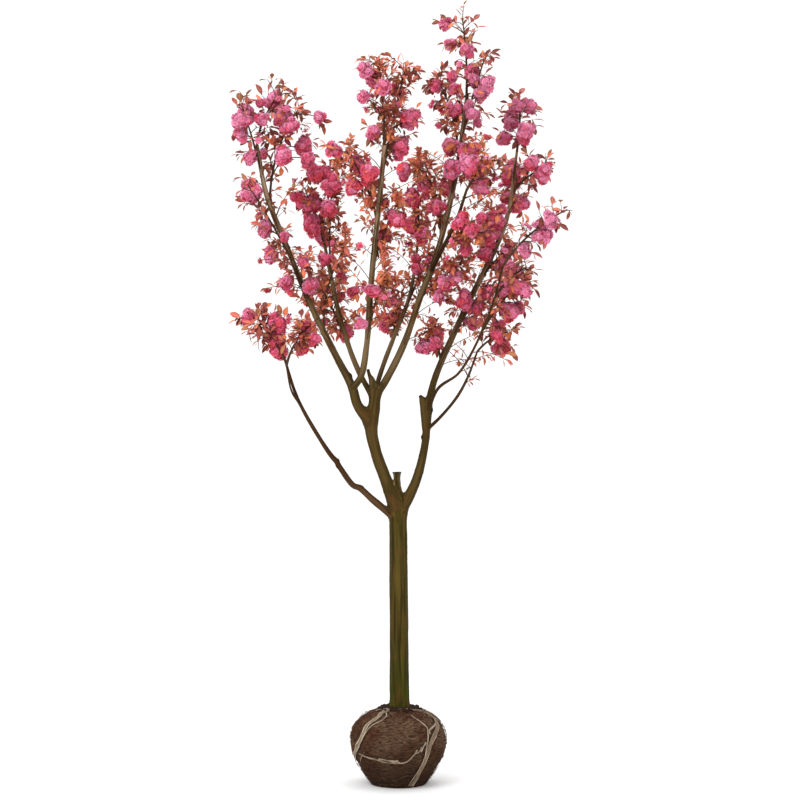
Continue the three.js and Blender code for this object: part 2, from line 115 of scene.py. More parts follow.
def linear(colour: Colour) -> tuple[float, float, float, float]:
    """A screen colour as the linear colour that a shader socket takes.

    Args:
        colour: red, green and blue from 0 to 255.

    Returns:
        Linear red, green and blue, and full cover.
    """
    share = np.array(colour) / 255.0
    bright = np.where(share <= 0.04045, share / 12.92, ((share + 0.055) / 1.055) ** 2.4)
    return (*bright.tolist(), 1.0)


# Meshes as whole arrays


@dataclass
class Shape:
    """A mesh as arrays: points, faces of four and of three corners, and named values for the points."""

    points: Array
    quads: Array
    tris: Array
    values: dict[str, Array] = field(default_factory=dict)

    @classmethod
    def joined(cls, shapes: Sequence["Shape"]) -> "Shape":
        """One shape out of several that carry the same values.

        Args:
            shapes: the shapes in order.

        Returns:
            The whole.
        """
        starts = np.cumsum([0] + [len(shape.points) for shape in shapes[:-1]])
        return cls(
            np.concatenate([shape.points for shape in shapes]),
            np.concatenate([shape.quads + start for shape, start in zip(shapes, starts)]),
            np.concatenate([shape.tris + start for shape, start in zip(shapes, starts)]),
            {key: np.concatenate([shape.values[key] for shape in shapes]) for key in shapes[0].values},
        )

    def placed(self, origins: Array, frames: Array) -> "Shape":
        """Copies of the shape: each point is its frame times the point, plus its origin.

        Args:
            origins: one place for each copy (copy, 3).
            frames: one matrix for each copy, whose columns are its scaled axes (copy, 3, 3).

        Returns:
            All copies as one shape.
        """
        count = len(origins)
        points = origins[:, None, :] + np.einsum("nij,pj->npi", frames, self.points)
        shift = (np.arange(count) * len(self.points))[:, None, None]
        values = {key: np.concatenate([value] * count) for key, value in self.values.items()}
        return Shape(
            points.reshape(-1, 3),
            (self.quads[None] + shift).reshape(-1, 4),
            (self.tris[None] + shift).reshape(-1, 3),
            values,
        )

    def piece(self, name: str, material: Material, slot: str, nodes: Sequence[str] = ()) -> None:
        """Makes the shape a mesh object that rides on the tree.

        Args:
            name: the piece's name.
            material: its finish.
            slot: the record's material slot; not used.
            nodes: solids that the piece stands for.
        """
        mesh = bpy.data.meshes.new(name)
        corners = np.concatenate([self.quads.ravel(), self.tris.ravel()])
        sizes = np.concatenate([np.full(len(self.quads), 4), np.full(len(self.tris), 3)])
        mesh.vertices.add(len(self.points))
        mesh.vertices.foreach_set("co", self.points.astype(np.float32).ravel())
        mesh.loops.add(len(corners))
        mesh.loops.foreach_set("vertex_index", corners.astype(np.int32))
        mesh.polygons.add(len(sizes))
        mesh.polygons.foreach_set("loop_start", (np.cumsum(sizes) - sizes).astype(np.int32))
        mesh.polygons.foreach_set("use_smooth", np.ones(len(sizes), bool))
        for key, value in self.values.items():
            kind, socket = ("FLOAT_VECTOR", "vector") if value.ndim == 2 else ("FLOAT", "value")
            layer = mesh.attributes.new(key, kind, "POINT")
            layer.data.foreach_set(socket, value.astype(np.float32).ravel())
        mesh.update(calc_edges=True)
        mesh.validate()
        mesh.materials.append(material)
        piece = bpy.data.objects.new(name, mesh)
        bpy.context.scene.collection.objects.link(piece)
        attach(piece, "root")
        if nodes:
            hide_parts(*nodes)
        LOG.info("%s: %d triangles", name, 2 * len(self.quads) + len(self.tris))


def closed_walls(walls: Array, starts: Array, ends: Array, values: dict[str, Array]) -> Shape:
    """Closes ring grids: neighbouring rings share quads, and each end is a fan on one point.

    Args:
        walls: points of each wall (wall, ring, side, 3), sides counter-clockwise seen along the rings.
        starts: the point that closes each first ring (wall, 3).
        ends: the point that closes each last ring (wall, 3).
        values: named values (wall, ring, side, ...); a cap takes those of its ring's first point.

    Returns:
        All walls as one shape.
    """
    count, rings, sides = walls.shape[:3]
    size = rings * sides + 2
    ring, side = np.meshgrid(np.arange(rings - 1), np.arange(sides), indexing="ij")
    near = ring * sides + side
    near_next = ring * sides + (side + 1) % sides
    quads = np.stack([near, near_next, near_next + sides, near + sides], -1).reshape(-1, 4)
    rim = np.arange(sides)
    rim_next = (rim + 1) % sides
    last = (rings - 1) * sides
    foot = np.stack([np.full(sides, size - 2), rim_next, rim], -1)
    top = np.stack([np.full(sides, size - 1), last + rim, last + rim_next], -1)
    shift = (np.arange(count) * size)[:, None, None]

    def with_caps(wall: Array, start: Array, end: Array) -> Array:
        """A wall's rows followed by those of its two caps."""
        flat = wall.reshape(count, rings * sides, -1)
        rows = np.concatenate([flat, start.reshape(count, 1, -1), end.reshape(count, 1, -1)], axis=1)
        return rows.reshape(count * size, -1)

    carried = {}
    for key, value in values.items():
        rows = with_caps(value, value[:, 0, 0], value[:, -1, 0])
        carried[key] = rows if value.ndim == 4 else rows[:, 0]
    tris = np.concatenate([foot, top])
    return Shape(
        with_caps(walls, starts, ends),
        (quads[None] + shift).reshape(-1, 4),
        (tris[None] + shift).reshape(-1, 3),
        carried,
    )


def ring_ways(paths: Array, sides: int) -> Array:
    """Directions out of each path point: cos(a) side plus sin(a) back, for even angles a.

    Side is the path's tangent crossed with Y, and back the tangent crossed with side.

    Args:
        paths: points of each path (tube, ring, 3).
        sides: directions at each point.

    Returns:
        The directions (tube, ring, side, 3).
    """
    along = unit(np.gradient(paths, axis=1))
    side = unit(np.cross(along, AXIS_Y))
    back = np.cross(along, side)
    angle = np.linspace(0.0, TURN, sides, endpoint=False)[:, None]
    return np.cos(angle) * side[:, :, None] + np.sin(angle) * back[:, :, None]


def distances(points: Array) -> Array:
    """How far along its path each point lies: the running sum of the steps (..., point)."""
    return np.cumsum(np.linalg.norm(np.diff(points, axis=-2, prepend=points[..., :1, :]), axis=-1), axis=-1)


def tubes(paths: Array, radii: Array, sides: int, values: dict[str, Array] | None = None) -> Shape:
    """Closed tubes: a ring is its path point plus radius times the ring's directions.

    The value "grain" holds cos(a) radius, sin(a) radius and the distance along the path.

    Args:
        paths: points of each path (tube, ring, 3).
        radii: anything that spreads to (tube, ring, side).
        sides: points in a ring.
        values: more named values, each (tube, ring, side).

    Returns:
        All tubes as one shape.
    """
    angle = np.linspace(0.0, TURN, sides, endpoint=False)
    radii = np.broadcast_to(radii, (*paths.shape[:2], sides))
    walls = paths[:, :, None] + radii[..., None] * ring_ways(paths, sides)
    distance = np.broadcast_to(distances(paths)[..., None], radii.shape)
    grain = np.stack([np.cos(angle) * radii, np.sin(angle) * radii, distance], -1)
    return closed_walls(walls, paths[:, 0], paths[:, -1], {"grain": grain, **(values or {})})


def on_curves(feet: Array, leads: Array, ends: Array, shares: Array) -> Array:
    """Points (1-t)^2 foot + 2t(1-t) lead + t^2 end at each curve's own share t."""
    t = shares[..., None]
    return (1 - t) ** 2 * feet + 2 * t * (1 - t) * leads + t**2 * ends


def bent_paths(feet: Array, leads: Array, ends: Array, rings: int) -> Array:
    """The same curves, each at evenly spaced t (curve, ring, 3)."""
    return on_curves(feet[:, None], leads[:, None], ends[:, None], np.linspace(0.0, 1.0, rings)[None])


def within(draws: Array, limits: Span) -> Array:
    """Draws from 0 to 1 spread between the limits."""
    return np.interp(draws, (0, 1), limits)


def dealt(counts: Array) -> tuple[Array, Array]:
    """For so many items to each owner: the owner of each item, and the item's order among that owner's."""
    owner = np.repeat(np.arange(len(counts)), counts)
    return owner, np.arange(len(owner)) - np.repeat(np.cumsum(counts) - counts, counts)


def frames_about(axes: Array, spins: Array) -> Array:
    """Square frames about axes, turned by spins.

    Args:
        axes: the third column of each frame (frame, 3).
        spins: how far each is turned about it, in radians.

    Returns:
        The frames (frame, 3, 3).
    """
    steep = np.abs(axes[:, 2:]) > 0.9
    helper = np.where(steep, AXIS_X, AXIS_Z)
    side = unit(np.cross(helper, axes))
    back = np.cross(axes, side)
    first = np.cos(spins)[:, None] * side + np.sin(spins)[:, None] * back
    return np.stack([first, np.cross(axes, first), axes], axis=-1)


def leaning(axes: Array, turns: Array, tilts: Array) -> Array:
    """Directions tilted off each axis by tilt, towards the side that turn gives."""
    basis = frames_about(axes, turns)
    return np.cos(tilts)[:, None] * axes + np.sin(tilts)[:, None] * basis[:, :, 0]


def station_curve(points: Array, shares: Array) -> Array:
    """Points of the centripetal curve through the stations, with the share counted by station.

    Args:
        points: stations (station, 3).
        shares: places from 0, the first station, to 1, the last.

    Returns:
        One point for each share.
    """
    ends = np.vstack([2 * points[0] - points[1], points, 2 * points[-1] - points[-2]])
    spans = len(points) - 1
    place = np.clip(shares * spans, 0, spans)
    index = np.minimum(place.astype(int), spans - 1)
    t = (place - index)[:, None]
    p0, p1, p2, p3 = (ends[index + k] for k in range(4))
    k0, k1, k2 = (np.linalg.norm(b - a, axis=1)[:, None] ** 0.5 for a, b in ((p0, p1), (p1, p2), (p2, p3)))
    m1 = ((p1 - p0) / k0 - (p2 - p0) / (k0 + k1) + (p2 - p1) / k1) * k1
    m2 = ((p2 - p1) / k1 - (p3 - p1) / (k1 + k2) + (p3 - p2) / k2) * k1
    return p1 + m1 * t + (3 * (p2 - p1) - 2 * m1 - m2) * t**2 + (2 * (p1 - p2) + m1 + m2) * t**3


def along_spans(points: Array, line: Array) -> tuple[Array, Array]:
    """Where points lie nearest to each straight span of a line.

    Args:
        points: places (point, axis).
        line: the ends of the spans in order (end, axis).

    Returns:
        The share of each span, and how far away that is, both (point, span).
    """
    start, span = line[:-1], np.diff(line, axis=0)
    offset = points[:, None] - start
    share = np.clip(np.sum(offset * span, -1) / np.sum(span * span, -1), 0.0, 1.0)
    return share, np.linalg.norm(offset - share[..., None] * span, axis=-1)


# Shader nodes and finishes


class Desk:
    """A shader tree in the making: places nodes and links them."""

    def __init__(self, tree: Tree) -> None:
        """Keeps the tree."""
        self.tree = tree

    @classmethod
    def material(cls, name: str) -> tuple["Desk", Material, Node]:
        """A new material.

        Args:
            name: its name.

        Returns:
            Its desk, the material and its Principled shader.
        """
        material = bpy.data.materials.new(name)
        material.use_nodes = True
        return cls(material.node_tree), material, material.node_tree.nodes["Principled BSDF"]

    def feed(self, socket: Socket, value: object) -> None:
        """Links the value to the socket if it is a socket too, and sets it otherwise.

        Args:
            socket: the input.
            value: a socket or a plain value.
        """
        if isinstance(value, Socket):
            self.tree.links.new(value, socket)
        else:
            socket.default_value = value

    def add(self, kind: str, options: dict[str, object], inputs: dict[str | int, object]) -> Node:
        """Places a node.

        Args:
            kind: the node's type without its prefix.
            options: its settings.
            inputs: a value or a socket for each input, by name or number.

        Returns:
            The node.
        """
        node = self.tree.nodes.new("ShaderNode" + kind)
        for key, value in options.items():
            setattr(node, key, value)
        self.fill(node, inputs)
        return node

    def fill(self, node: Node, inputs: dict[str | int, object]) -> None:
        """Feeds a node's inputs, by name or number."""
        for key, value in inputs.items():
            self.feed(node.inputs[key], value)

    def coat(self, shader: Node, colour: Socket, roughness: object, normal: Socket, gloss: float) -> None:
        """Feeds a Principled shader."""
        looks = {"Base Color": colour, "Roughness": roughness, "Normal": normal, "Specular IOR Level": gloss}
        self.fill(shader, looks)

    def attribute(self, name: str) -> Node:
        """A value that the mesh carries by name."""
        return self.add("Attribute", {"attribute_name": name}, {})

    def place(self) -> Socket:
        """Object coordinates."""
        return self.add("TexCoord", {}, {}).outputs["Object"]

    def noise(self, vector: Socket, stretch: Triple, detail: float = 3.0) -> Socket:
        """Noise on coordinates that are first multiplied by the stretch."""
        scaled = self.add("VectorMath", {"operation": "MULTIPLY"}, {0: vector, 1: stretch}).outputs[0]
        return self.add("TexNoise", {}, {"Vector": scaled, "Scale": 1.0, "Detail": detail}).outputs[0]

    def band(self, value: Socket, low: float, high: float) -> Socket:
        """0 where the value is at low, 1 at high, and smooth between them."""
        inputs = {"Value": value, "From Min": low, "From Max": high}
        return self.add("MapRange", {"interpolation_type": "SMOOTHSTEP"}, inputs).outputs[0]

    def math(self, operation: str, first: object, second: object) -> Socket:
        """Two values put together."""
        return self.add("Math", {"operation": operation}, {0: first, 1: second}).outputs[0]

    def blend(self, share: object, first: object, second: object) -> Socket:
        """The first colour at share 0, the second at share 1."""
        return self.add("Mix", {"data_type": "RGBA"}, {0: share, 6: first, 7: second}).outputs[2]

    def use(self, group: Tree, inputs: dict[str, object]) -> Node:
        """Places a node group with its own values."""
        return self.add("Group", {"node_tree": group}, inputs)

    def bump(self, height: Socket, strength: float, depth: float) -> Socket:
        """A normal out of heights."""
        return self.add("Bump", {}, {"Strength": strength, "Distance": depth, "Height": height}).outputs[0]

    def height(self) -> Socket:
        """Height above the floor."""
        return self.add("SeparateXYZ", {}, {0: self.place()}).outputs[2]

    def speckle(self, fineness: float, ground: Colour, cloud: Colour) -> Node:
        """The speckle group on object coordinates."""
        values = {"Fineness": fineness, "Ground": linear(ground), "Cloud": linear(cloud)}
        return self.use(GROUPS["speckle"], {"Place": self.place(), **values})

    def fibres(self, stretch: Triple, thread: object, gap: Colour) -> Node:
        """The fibre group on the grain that the mesh carries."""
        values = {"Stretch": stretch, "Thread": thread, "Gap": linear(gap)}
        return self.use(GROUPS["fibres"], {"Grain": self.attribute("grain").outputs["Vector"], **values})

    def thin_normal(self) -> Socket:
        """The normal of a thin sheet that passes light on."""
        return self.use(GROUPS["thin"], {"Share": THIN_SHARE}).outputs["Normal"]


KINDS = {"Colour": "NodeSocketColor", "Value": "NodeSocketFloat", "Vector": "NodeSocketVector"}


def new_group(name: str, inputs: dict[str, str], outputs: dict[str, str]) -> tuple[Desk, Node, Node]:
    """A shader group with named sockets.

    Args:
        name: the group's name.
        inputs: the kind of each input.
        outputs: the kind of each output.

    Returns:
        The group's desk, its input node and its output node.
    """
    tree = bpy.data.node_groups.new(name, "ShaderNodeTree")
    for side, sockets in (("INPUT", inputs), ("OUTPUT", outputs)):
        for label, kind in sockets.items():
            tree.interface.new_socket(label, in_out=side, socket_type=KINDS[kind])
    return Desk(tree), tree.nodes.new("NodeGroupInput"), tree.nodes.new("NodeGroupOutput")


def bark_group() -> Tree:
    """Bark: dark and light streaks drawn out along the limb, cross bands of pores, and broad patches.

    Returns:
        The group's tree.
    """
    inputs = {"Grain": "Vector", "Base": "Colour", "Streak": "Colour", "Light": "Colour", "Patch": "Colour"}
    outputs = {"Colour": "Colour", "Height": "Value", "Rough": "Value"}
    desk, given, result = new_group("bark_grain", inputs, outputs)
    grain = given.outputs["Grain"]
    streak = desk.noise(grain, (75.0, 75.0, 4.0), 4.0)
    light = desk.band(desk.noise(grain, (48.0, 48.0, 2.5), 2.0), 0.5, 0.66)
    pore = desk.band(desk.noise(grain, (26.0, 26.0, 190.0)), 0.58, 0.74)
    patch = desk.band(desk.noise(grain, (14.0, 14.0, 6.0)), 0.35, 0.7)
    mottle = desk.math("MULTIPLY", desk.band(desk.noise(grain, (20.0, 20.0, 7.0), 3.0), 0.48, 0.62), 0.7)
    ground = desk.blend(mottle, given.outputs["Base"], given.outputs["Patch"])
    colour = desk.blend(desk.band(streak, 0.44, 0.64), ground, given.outputs["Streak"])
    lit = desk.blend(light, colour, given.outputs["Light"])
    dots = desk.math("MULTIPLY", desk.math("MULTIPLY", pore, patch), 0.6)
    pored = desk.blend(dots, lit, given.outputs["Light"])
    height = desk.math("ADD", streak, desk.math("MULTIPLY", pore, 0.6))
    rough = desk.math("ADD", desk.math("MULTIPLY", patch, 0.2), 0.65)
    desk.fill(result, {"Colour": pored, "Height": height, "Rough": rough})
    return desk.tree


def speckle_group() -> Tree:
    """Speckle: one colour clouded with another, by noise of a given fineness.

    Returns:
        The group's tree.
    """
    inputs = {"Place": "Vector", "Fineness": "Value", "Ground": "Colour", "Cloud": "Colour"}
    desk, given, result = new_group("speckle", inputs, {"Colour": "Colour", "Share": "Value"})
    noise = desk.add("TexNoise", {}, {"Vector": given.outputs["Place"], "Scale": given.outputs["Fineness"]})
    share = desk.band(noise.outputs[0], 0.4, 0.68)
    colour = desk.blend(share, given.outputs["Ground"], given.outputs["Cloud"])
    desk.fill(result, {"Colour": colour, "Share": share})
    return desk.tree


def fibre_group() -> Tree:
    """Fibres: fine threads along the stretch, darker between them, for rooty earth and for bast.

    Returns:
        The group's tree.
    """
    inputs = {"Grain": "Vector", "Stretch": "Vector", "Thread": "Colour", "Gap": "Colour"}
    desk, given, result = new_group("fibres", inputs, {"Colour": "Colour", "Height": "Value"})
    thread = desk.noise(given.outputs["Grain"], given.outputs["Stretch"], 5.0)
    share = desk.band(thread, 0.36, 0.62)
    colour = desk.blend(share, given.outputs["Gap"], given.outputs["Thread"])
    desk.fill(result, {"Colour": colour, "Height": thread})
    return desk.tree


def thin_group() -> Tree:
    """Thin sheets that pass light on: a normal between the sheet's own and its value "facing".

    Returns:
        The group's tree.
    """
    desk, given, result = new_group("thin_sheet", {"Share": "Value"}, {"Normal": "Vector"})
    own = desk.add("NewGeometry", {}, {}).outputs["Normal"]
    facing = desk.attribute("facing").outputs["Vector"]
    inputs = {0: facing, "Scale": given.outputs["Share"]}
    turned = desk.add("VectorMath", {"operation": "SCALE"}, inputs).outputs[0]
    normal = desk.add("VectorMath", {"operation": "ADD"}, {0: own, 1: turned}).outputs[0]
    desk.feed(result.inputs["Normal"], normal)
    return desk.tree


GROUPS = {"bark": bark_group(), "speckle": speckle_group(), "fibres": fibre_group(), "thin": thin_group()}


@dataclass(frozen=True)
class BarkFinish:
    """Bark with streaks and pores, dark where it is cut or scarred, its base and light colours by level.

    Each level after the first holds the heights between which its colours set in. Some are painted light,
    wholly or in part.
    """

    name: str
    streak: Colour
    patch: Colour
    levels: tuple[tuple[Colour, Colour, float, float], ...]
    cut: Colour = (26, 19, 12)
    relief: float = 1.5
    bump: float = 0.6
    gloss: float = 0.05

    def material(self) -> Material:
        """Builds the bark.

        Returns:
            The material.
        """
        desk, material, shader = Desk.material(self.name)
        base, light = (linear(colour) for colour in self.levels[0][:2])
        height = desk.height()
        for upper_base, upper_light, start, end in self.levels[1:]:
            share = desk.band(height, start, end)
            base = desk.blend(share, base, linear(upper_base))
            light = desk.blend(share, light, linear(upper_light))
        colours = {"Base": base, "Streak": linear(self.streak), "Light": light, "Patch": linear(self.patch)}
        bark = desk.use(GROUPS["bark"], {"Grain": desk.attribute("grain").outputs["Vector"], **colours})
        cut = desk.attribute("cut").outputs["Fac"]
        colour = desk.blend(cut, bark.outputs["Colour"], linear(self.cut))
        normal = desk.bump(bark.outputs["Height"], self.bump, self.relief * MM)
        desk.coat(shader, colour, bark.outputs["Rough"], normal, self.gloss)
        return material


@dataclass(frozen=True)
class PetalFinish:
    """Petals that pale from heart to edge, with faint clouds of a second pink."""

    name: str
    edge: Colour
    cloud: Colour
    heart: Colour
    fineness: float = 70.0
    paling: Span = (0.15, 0.9)
    roughness: float = 0.7
    gloss: float = 0.15

    def material(self) -> Material:
        """Builds the petal.

        Returns:
            The material.
        """
        desk, material, shader = Desk.material(self.name)
        tint = desk.speckle(self.fineness, self.edge, self.cloud).outputs["Colour"]
        edge = desk.band(desk.attribute("edge").outputs["Fac"], *self.paling)
        colour = desk.blend(edge, linear(self.heart), tint)
        desk.coat(shader, colour, self.roughness, desk.thin_normal(), self.gloss)
        return material


@dataclass(frozen=True)
class LeafFinish:
    """Young leaves: a blade clouded with a second tint, rougher there, and a paler rib."""

    name: str
    blade: Colour
    cloud: Colour
    rib: Colour
    fineness: float = 28.0
    rib_edge: Span = (0.02, 0.3)
    roughness: float = 0.5
    cloud_roughness: float = 0.15
    gloss: float = 0.25

    def material(self) -> Material:
        """Builds the leaf.

        Returns:
            The material.
        """
        desk, material, shader = Desk.material(self.name)
        tint = desk.speckle(self.fineness, self.blade, self.cloud)
        rib = desk.band(desk.attribute("rib").outputs["Fac"], *self.rib_edge)
        rough = desk.math("MULTIPLY", tint.outputs["Share"], self.cloud_roughness)
        rough = desk.math("ADD", rough, self.roughness)
        colour = desk.blend(rib, linear(self.rib), tint.outputs["Colour"])
        desk.coat(shader, colour, rough, desk.thin_normal(), self.gloss)
        return material


@dataclass(frozen=True)
class EarthFinish:
    """Earth held by rootlets: threads, gaps, clouds of redder soil, and perhaps painted shade that darkens
    the foot.
    """

    name: str
    thread: Colour
    gap: Colour
    cloud: Colour
    stretch: Triple
    # painted shade towards the foot, and the height up to which it fades
    painted_foot_shade: Colour | None = None
    painted_shade_height: float = 0.3
    fineness: float = 9.0
    bump: float = 0.8
    relief: float = 4.0
    roughness: float = 0.95
    gloss: float = 0.05

    def material(self) -> Material:
        """Builds the earth.

        Returns:
            The material.
        """
        desk, material, shader = Desk.material(self.name)
        tint = desk.speckle(self.fineness, self.thread, self.cloud).outputs["Colour"]
        # Painted shade: the earth darkens towards the foot, below its lit upper part.
        if self.painted_foot_shade:
            tint = desk.blend(desk.band(desk.height(), 0.0, self.painted_shade_height), linear(self.painted_foot_shade), tint)
        fibres = desk.fibres(self.stretch, tint, self.gap)
        normal = desk.bump(fibres.outputs["Height"], self.bump, self.relief * MM)
        desk.coat(shader, fibres.outputs["Colour"], self.roughness, normal, self.gloss)
        return material


@dataclass(frozen=True)
class BastFinish:
    """Bast ribbons: pale threads along the ribbon, stained brown where the shade value says."""

    name: str
    pale: Colour
    stained: Colour
    gap: Colour
    stretch: Triple = (420.0, 60.0, 14.0)
    bump: float = 0.5
    relief: float = 1.0
    roughness: float = 0.8
    gloss: float = 0.5

    def material(self) -> Material:
        """Builds the bast.

        Returns:
            The material.
        """
        desk, material, shader = Desk.material(self.name)
        shade = desk.attribute("shade").outputs["Fac"]
        tint = desk.blend(shade, linear(self.pale), linear(self.stained))
        fibres = desk.fibres(self.stretch, tint, self.gap)
        normal = desk.bump(fibres.outputs["Height"], self.bump, self.relief * MM)
        desk.coat(shader, fibres.outputs["Colour"], self.roughness, normal, self.gloss)
        return material


class Bark(Enum):
    """Which bark a limb has."""

    TRUNK = BarkFinish("bark_trunk", (43, 36, 11), (79, 58, 25), (
        ((50, 52, 10), (66, 66, 16), 0.0, 0.0),
        ((65, 55, 20), (84, 70, 28), 0.45, 0.85),
        # From 1.5 m, the sawn stub: lighter, painted light that lifts it out of its shade between the boughs.
        ((98, 80, 47), (118, 99, 64), 1.5, 1.56)))
    BOUGH = BarkFinish("bark_bough", (62, 48, 22), (92, 59, 29), (
        ((61, 48, 19), (80, 63, 30), 0.0, 0.0),
        # From 2 m up: lighter, partly greyer upper bark and partly painted light against the crown's shade.
        ((111, 91, 62), (127, 105, 78), 2.0, 2.35),
        ((148, 123, 97), (164, 140, 116), 2.5, 3.0)))
    RUDDY = BarkFinish("bark_ruddy", (45, 30, 15), (74, 45, 24), (
        ((67, 45, 26), (84, 60, 38), 0.0, 0.0),), relief=1.0)
    TWIG = BarkFinish("bark_twig", (54, 36, 26), (88, 54, 40), (
        ((80, 54, 38), (98, 70, 50), 0.0, 0.0),), relief=0.5)


class Tone(Enum):
    """Which pink a flower has, from the lit top of a head to its shaded inside."""

    PALE = PetalFinish("petal_pale", (237, 155, 187), (234, 139, 174), (229, 120, 158))
    BLUSH = PetalFinish("petal_blush", (236, 141, 174), (231, 124, 159), (227, 106, 144))
    ROSE = PetalFinish("petal_rose", (235, 122, 155), (228, 103, 136), (224, 87, 122))
    DEEP = PetalFinish("petal_deep", (232, 103, 135), (225, 85, 114), (219, 70, 101))
    CRIMSON = PetalFinish("petal_crimson", (227, 90, 105), (219, 76, 89), (211, 63, 77))


class Tint(Enum):
    """Which tint a young leaf has."""

    ORANGE = LeafFinish("leaf_orange", (214, 116, 70), (202, 100, 70), (222, 144, 102))
    COPPER = LeafFinish("leaf_copper", (210, 104, 86), (198, 92, 84), (218, 134, 112))
    MAROON = LeafFinish("leaf_maroon", (176, 90, 78), (158, 80, 74), (190, 116, 98))
    OLIVE = LeafFinish("leaf_olive", (188, 120, 78), (174, 104, 76), (204, 146, 104))


# The last colour is painted shade at the ball's foot.
EARTH = EarthFinish(
    "earth_ball", (104, 80, 62), (40, 27, 18), (82, 52, 37), (40.0, 40.0, 300.0), (52, 35, 24))
CRUST = EarthFinish("earth_crust", (78, 58, 50), (30, 21, 18), (66, 43, 38), (150.0, 150.0, 150.0))
ROOTLET = EarthFinish("rootlet", (128, 100, 80), (62, 44, 34), (104, 72, 56), (300.0, 300.0, 30.0))
BAST = BastFinish("bast", (206, 190, 162), (118, 92, 70), (92, 72, 56))
BUD = PetalFinish("bud", (176, 40, 84), (150, 30, 66), (112, 48, 40))


# Limbs


@dataclass(frozen=True)
class Scar:
    """A knuckle or scar: where along its limb, how far round from the front, size, height and darkness."""

    share: float
    turn: float
    size: float
    height: float
    dark: float


@dataclass(frozen=True)
class Relief:
    """How bark is worked: sizes and heights in millimetres, swellings as shares of the limb's radius."""

    full_radius: float = 25.0
    lump_size: float = 55.0
    ridge_size: Triple = (13.0, 13.0, 150.0)
    ridge_height: float = 1.4
    band_size: Triple = (26.0, 26.0, 6.0)
    band_height: float = 1.2
    band_from: float = 0.3
    year_gap: float = 38.0
    year_from: float = 0.55
    year_swell: float = 0.12
    lip_reach: float = 9.0
    lip_swell: float = 0.12
    cut_reach: float = 6.0


RELIEF = Relief()


